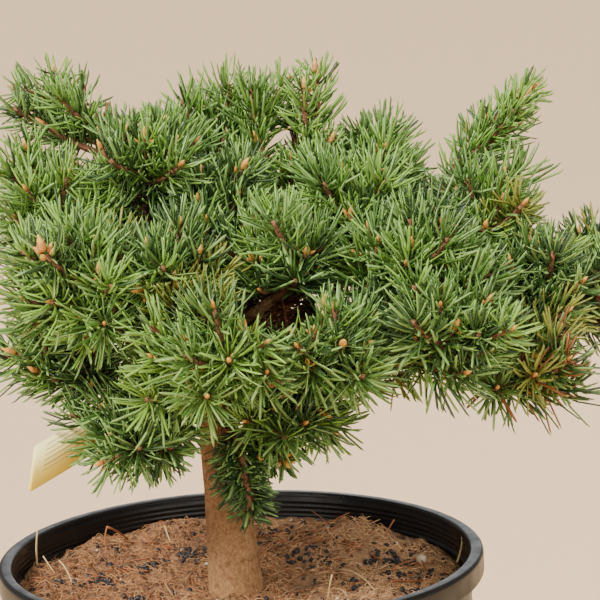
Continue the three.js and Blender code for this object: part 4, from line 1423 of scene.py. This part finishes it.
class PINE_OT_label(bpy.types.Operator):
    """Loops the blank plastic label round its bough and curls its free end"""

    bl_idname = "pine.make_label"
    bl_label = "Label"

    def execute(self, context):
        limbs = grow_limbs()
        path = label_path(limbs)
        bm = bmesh.new()
        layer = bm.loops.layers.uv.new("UVMap")
        limb = limbs["bough_left_low"]
        centre, heading = loop_centre(limb), limb.path.tangents(LABEL["loop_at"])
        side = unit(path.start - centre)
        side = unit(side - (side @ heading) * heading)
        lift = np.cross(heading, side)
        rows = []
        for k in range(21):
            angle = 2 * math.pi * (1 - k / 20) * 0.97
            spoke = math.cos(angle) * side + math.sin(angle) * lift
            rows.append((centre + (LABEL["loop_radius"] + 0.4) * spoke, heading * LABEL["neck"] / 2 * 0.8))
        for t in np.linspace(0.05, 1, 30):
            ease = min(max((t - 0.12) / 0.3, 0), 1)
            half = lerp(LABEL["neck"], LABEL["width"], ease * ease * (3 - 2 * ease)) / 2
            turn = min(t / 0.12, 1)
            across = unit(lerp(heading, unit(np.array(LABEL["up"])), turn)) * half
            rows.append((path.points(t), across))
        point, across = rows[0]
        verts = [bm.verts.new((point - across) * MM), bm.verts.new((point + across) * MM)]
        edge = bm.edges.new(verts)
        lines = [tuple(verts)]
        for point, across in rows[1:]:
            made = bmesh.ops.extrude_edge_only(bm, edges=[edge])["geom"]
            edge = next(g for g in made if isinstance(g, bmesh.types.BMEdge) and g.is_boundary
                        and not any(v in lines[-1] for v in g.verts))
            ends = sorted(edge.verts, key=lambda v: (v.co - lines[-1][0].co).length)
            ends[0].co, ends[1].co = (point - across) * MM, (point + across) * MM
            lines.append(tuple(ends))
        place = {v: (k / (len(lines) - 1), j) for k, line in enumerate(lines) for j, v in enumerate(line)}
        for face in bm.faces:
            for corner in face.loops:
                corner[layer].uv = place[corner.vert]
        bmesh.ops.bevel(bm, geom=list(lines[-1]), offset=3 * MM, segments=4, profile=0.5,
                        affect="VERTICES", material=-1)
        bmesh.ops.recalc_face_normals(bm, faces=bm.faces)
        piece = in_place("blank_label", from_bmesh("blank_label", bm), [label_plastic()])
        thick = piece.modifiers.new("thickness", "SOLIDIFY")
        thick.thickness = context.scene.pine_label.thickness
        thick.offset = 0
        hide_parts("label")
        return {"FINISHED"}


class PINE_OT_stage(bpy.types.Operator):
    """Sets the pale floor, the soft lights and the camera"""

    bl_idname = "pine.set_stage"
    bl_label = "Stage"

    def execute(self, context):
        s, scene = context.scene.pine_stage, context.scene
        bm = bmesh.new()
        bmesh.ops.create_grid(bm, x_segments=1, y_segments=1, size=30)
        mesh = from_bmesh("floor", bm)
        mesh.materials.append(finish("floor_pale", (0.88, 0.64, 0.41), 0.9))
        floor = bpy.data.objects.new("floor", mesh)
        scene.collection.objects.link(floor)
        world = bpy.data.worlds.new("soft_sky")
        world.use_nodes = True
        world.node_tree.nodes["Background"].inputs["Color"].default_value = (1.0, 0.96, 0.9, 1)
        world.node_tree.nodes["Background"].inputs["Strength"].default_value = 0.30
        scene.world = world
        centre = Vector((0.03, 0, 0.38))
        for name, kind, place, size, power, tone in (
                ("key", "SUN", (-1.1, -1.0, 1.75), math.radians(14), s.sun, (1.0, 0.94, 0.84)),
                ("top", "AREA", (0.3, 0.3, 1.9), 1.4, s.fill, (1.0, 0.97, 0.9)),
                ("rear", "AREA", (0.2, 2.6, 1.0), 1.6, s.fill * 0.8, (0.96, 0.98, 1.0)),
                ("side", "AREA", (1.4, -1.5, 1.2), 0.9, s.fill * 1.3, (1.0, 0.93, 0.82)),
                ("low", "AREA", (-1.1, -1.4, 0.4), 0.8, s.fill * 0.5, (1.0, 0.95, 0.86)),
                ("front", "AREA", (0.45, -2.0, 1.05), 1.2, s.fill * 1.7, (1.0, 0.95, 0.86))):
            light = bpy.data.lights.new(name, kind)
            light.energy, light.color = power, tone
            setattr(light, "angle" if kind == "SUN" else "size", size)
            lamp = bpy.data.objects.new(name, light)
            lamp.location = place
            lamp.rotation_euler = (centre - lamp.location).to_track_quat("-Z", "Y").to_euler()
            scene.collection.objects.link(lamp)
        self.camera(scene, s.focal)
        return {"FINISHED"}

    @staticmethod
    def camera(scene, focal):
        """A long lens from the front, a little above, tipped slightly to one side."""
        pitch, roll = math.radians(CAMERA["pitch"]), math.radians(CAMERA["roll"])
        right, up = Vector((1, 0, 0)), Vector((0, math.sin(pitch), math.cos(pitch)))
        forward = Vector((0, math.cos(pitch), -math.sin(pitch)))
        x = right * math.cos(roll) - up * math.sin(roll)
        y = right * math.sin(roll) + up * math.cos(roll)
        data = bpy.data.cameras.new("camera")
        data.lens = focal
        data.sensor_width = 36
        data.clip_end = 60
        camera = bpy.data.objects.new("camera", data)
        turn = Matrix((x, y, -forward)).transposed().to_4x4()
        camera.matrix_world = Matrix.Translation(CAMERA["place"]) @ turn
        scene.collection.objects.link(camera)
        scene.camera = camera


OPERATORS = (PINE_OT_pot, PINE_OT_mix, PINE_OT_limbs, PINE_OT_foliage, PINE_OT_label, PINE_OT_stage)


class PINE_PT_panel(bpy.types.Panel):
    """Lists the pieces in the order they are built"""

    bl_label = "Potted dwarf pine"
    bl_idname = "PINE_PT_panel"
    bl_space_type = "VIEW_3D"
    bl_region_type = "UI"
    bl_category = "Pine"

    def draw(self, context):
        for operator in OPERATORS:
            self.layout.operator(operator.bl_idname)
        for key in SETTINGS:
            box = self.layout.box()
            box.label(text=key[5:].capitalize())
            group = getattr(context.scene, key)
            for prop in group.__annotations__:
                box.prop(group, prop)


def register():
    for key, group in SETTINGS.items():
        bpy.utils.register_class(group)
        setattr(bpy.types.Scene, key, PointerProperty(type=group))
    for operator in OPERATORS:
        bpy.utils.register_class(operator)
    bpy.utils.register_class(PINE_PT_panel)


def unregister():
    bpy.utils.unregister_class(PINE_PT_panel)
    for operator in reversed(OPERATORS):
        bpy.utils.unregister_class(operator)
    for key, group in reversed(SETTINGS.items()):
        delattr(bpy.types.Scene, key)
        bpy.utils.unregister_class(group)


def main():
    register()
    bpy.ops.pine.make_pot()
    bpy.ops.pine.make_mix()
    bpy.ops.pine.make_limbs()
    bpy.ops.pine.make_foliage()
    bpy.ops.pine.make_label()
    bpy.ops.pine.set_stage()


if __name__ == "__main__":
    main()
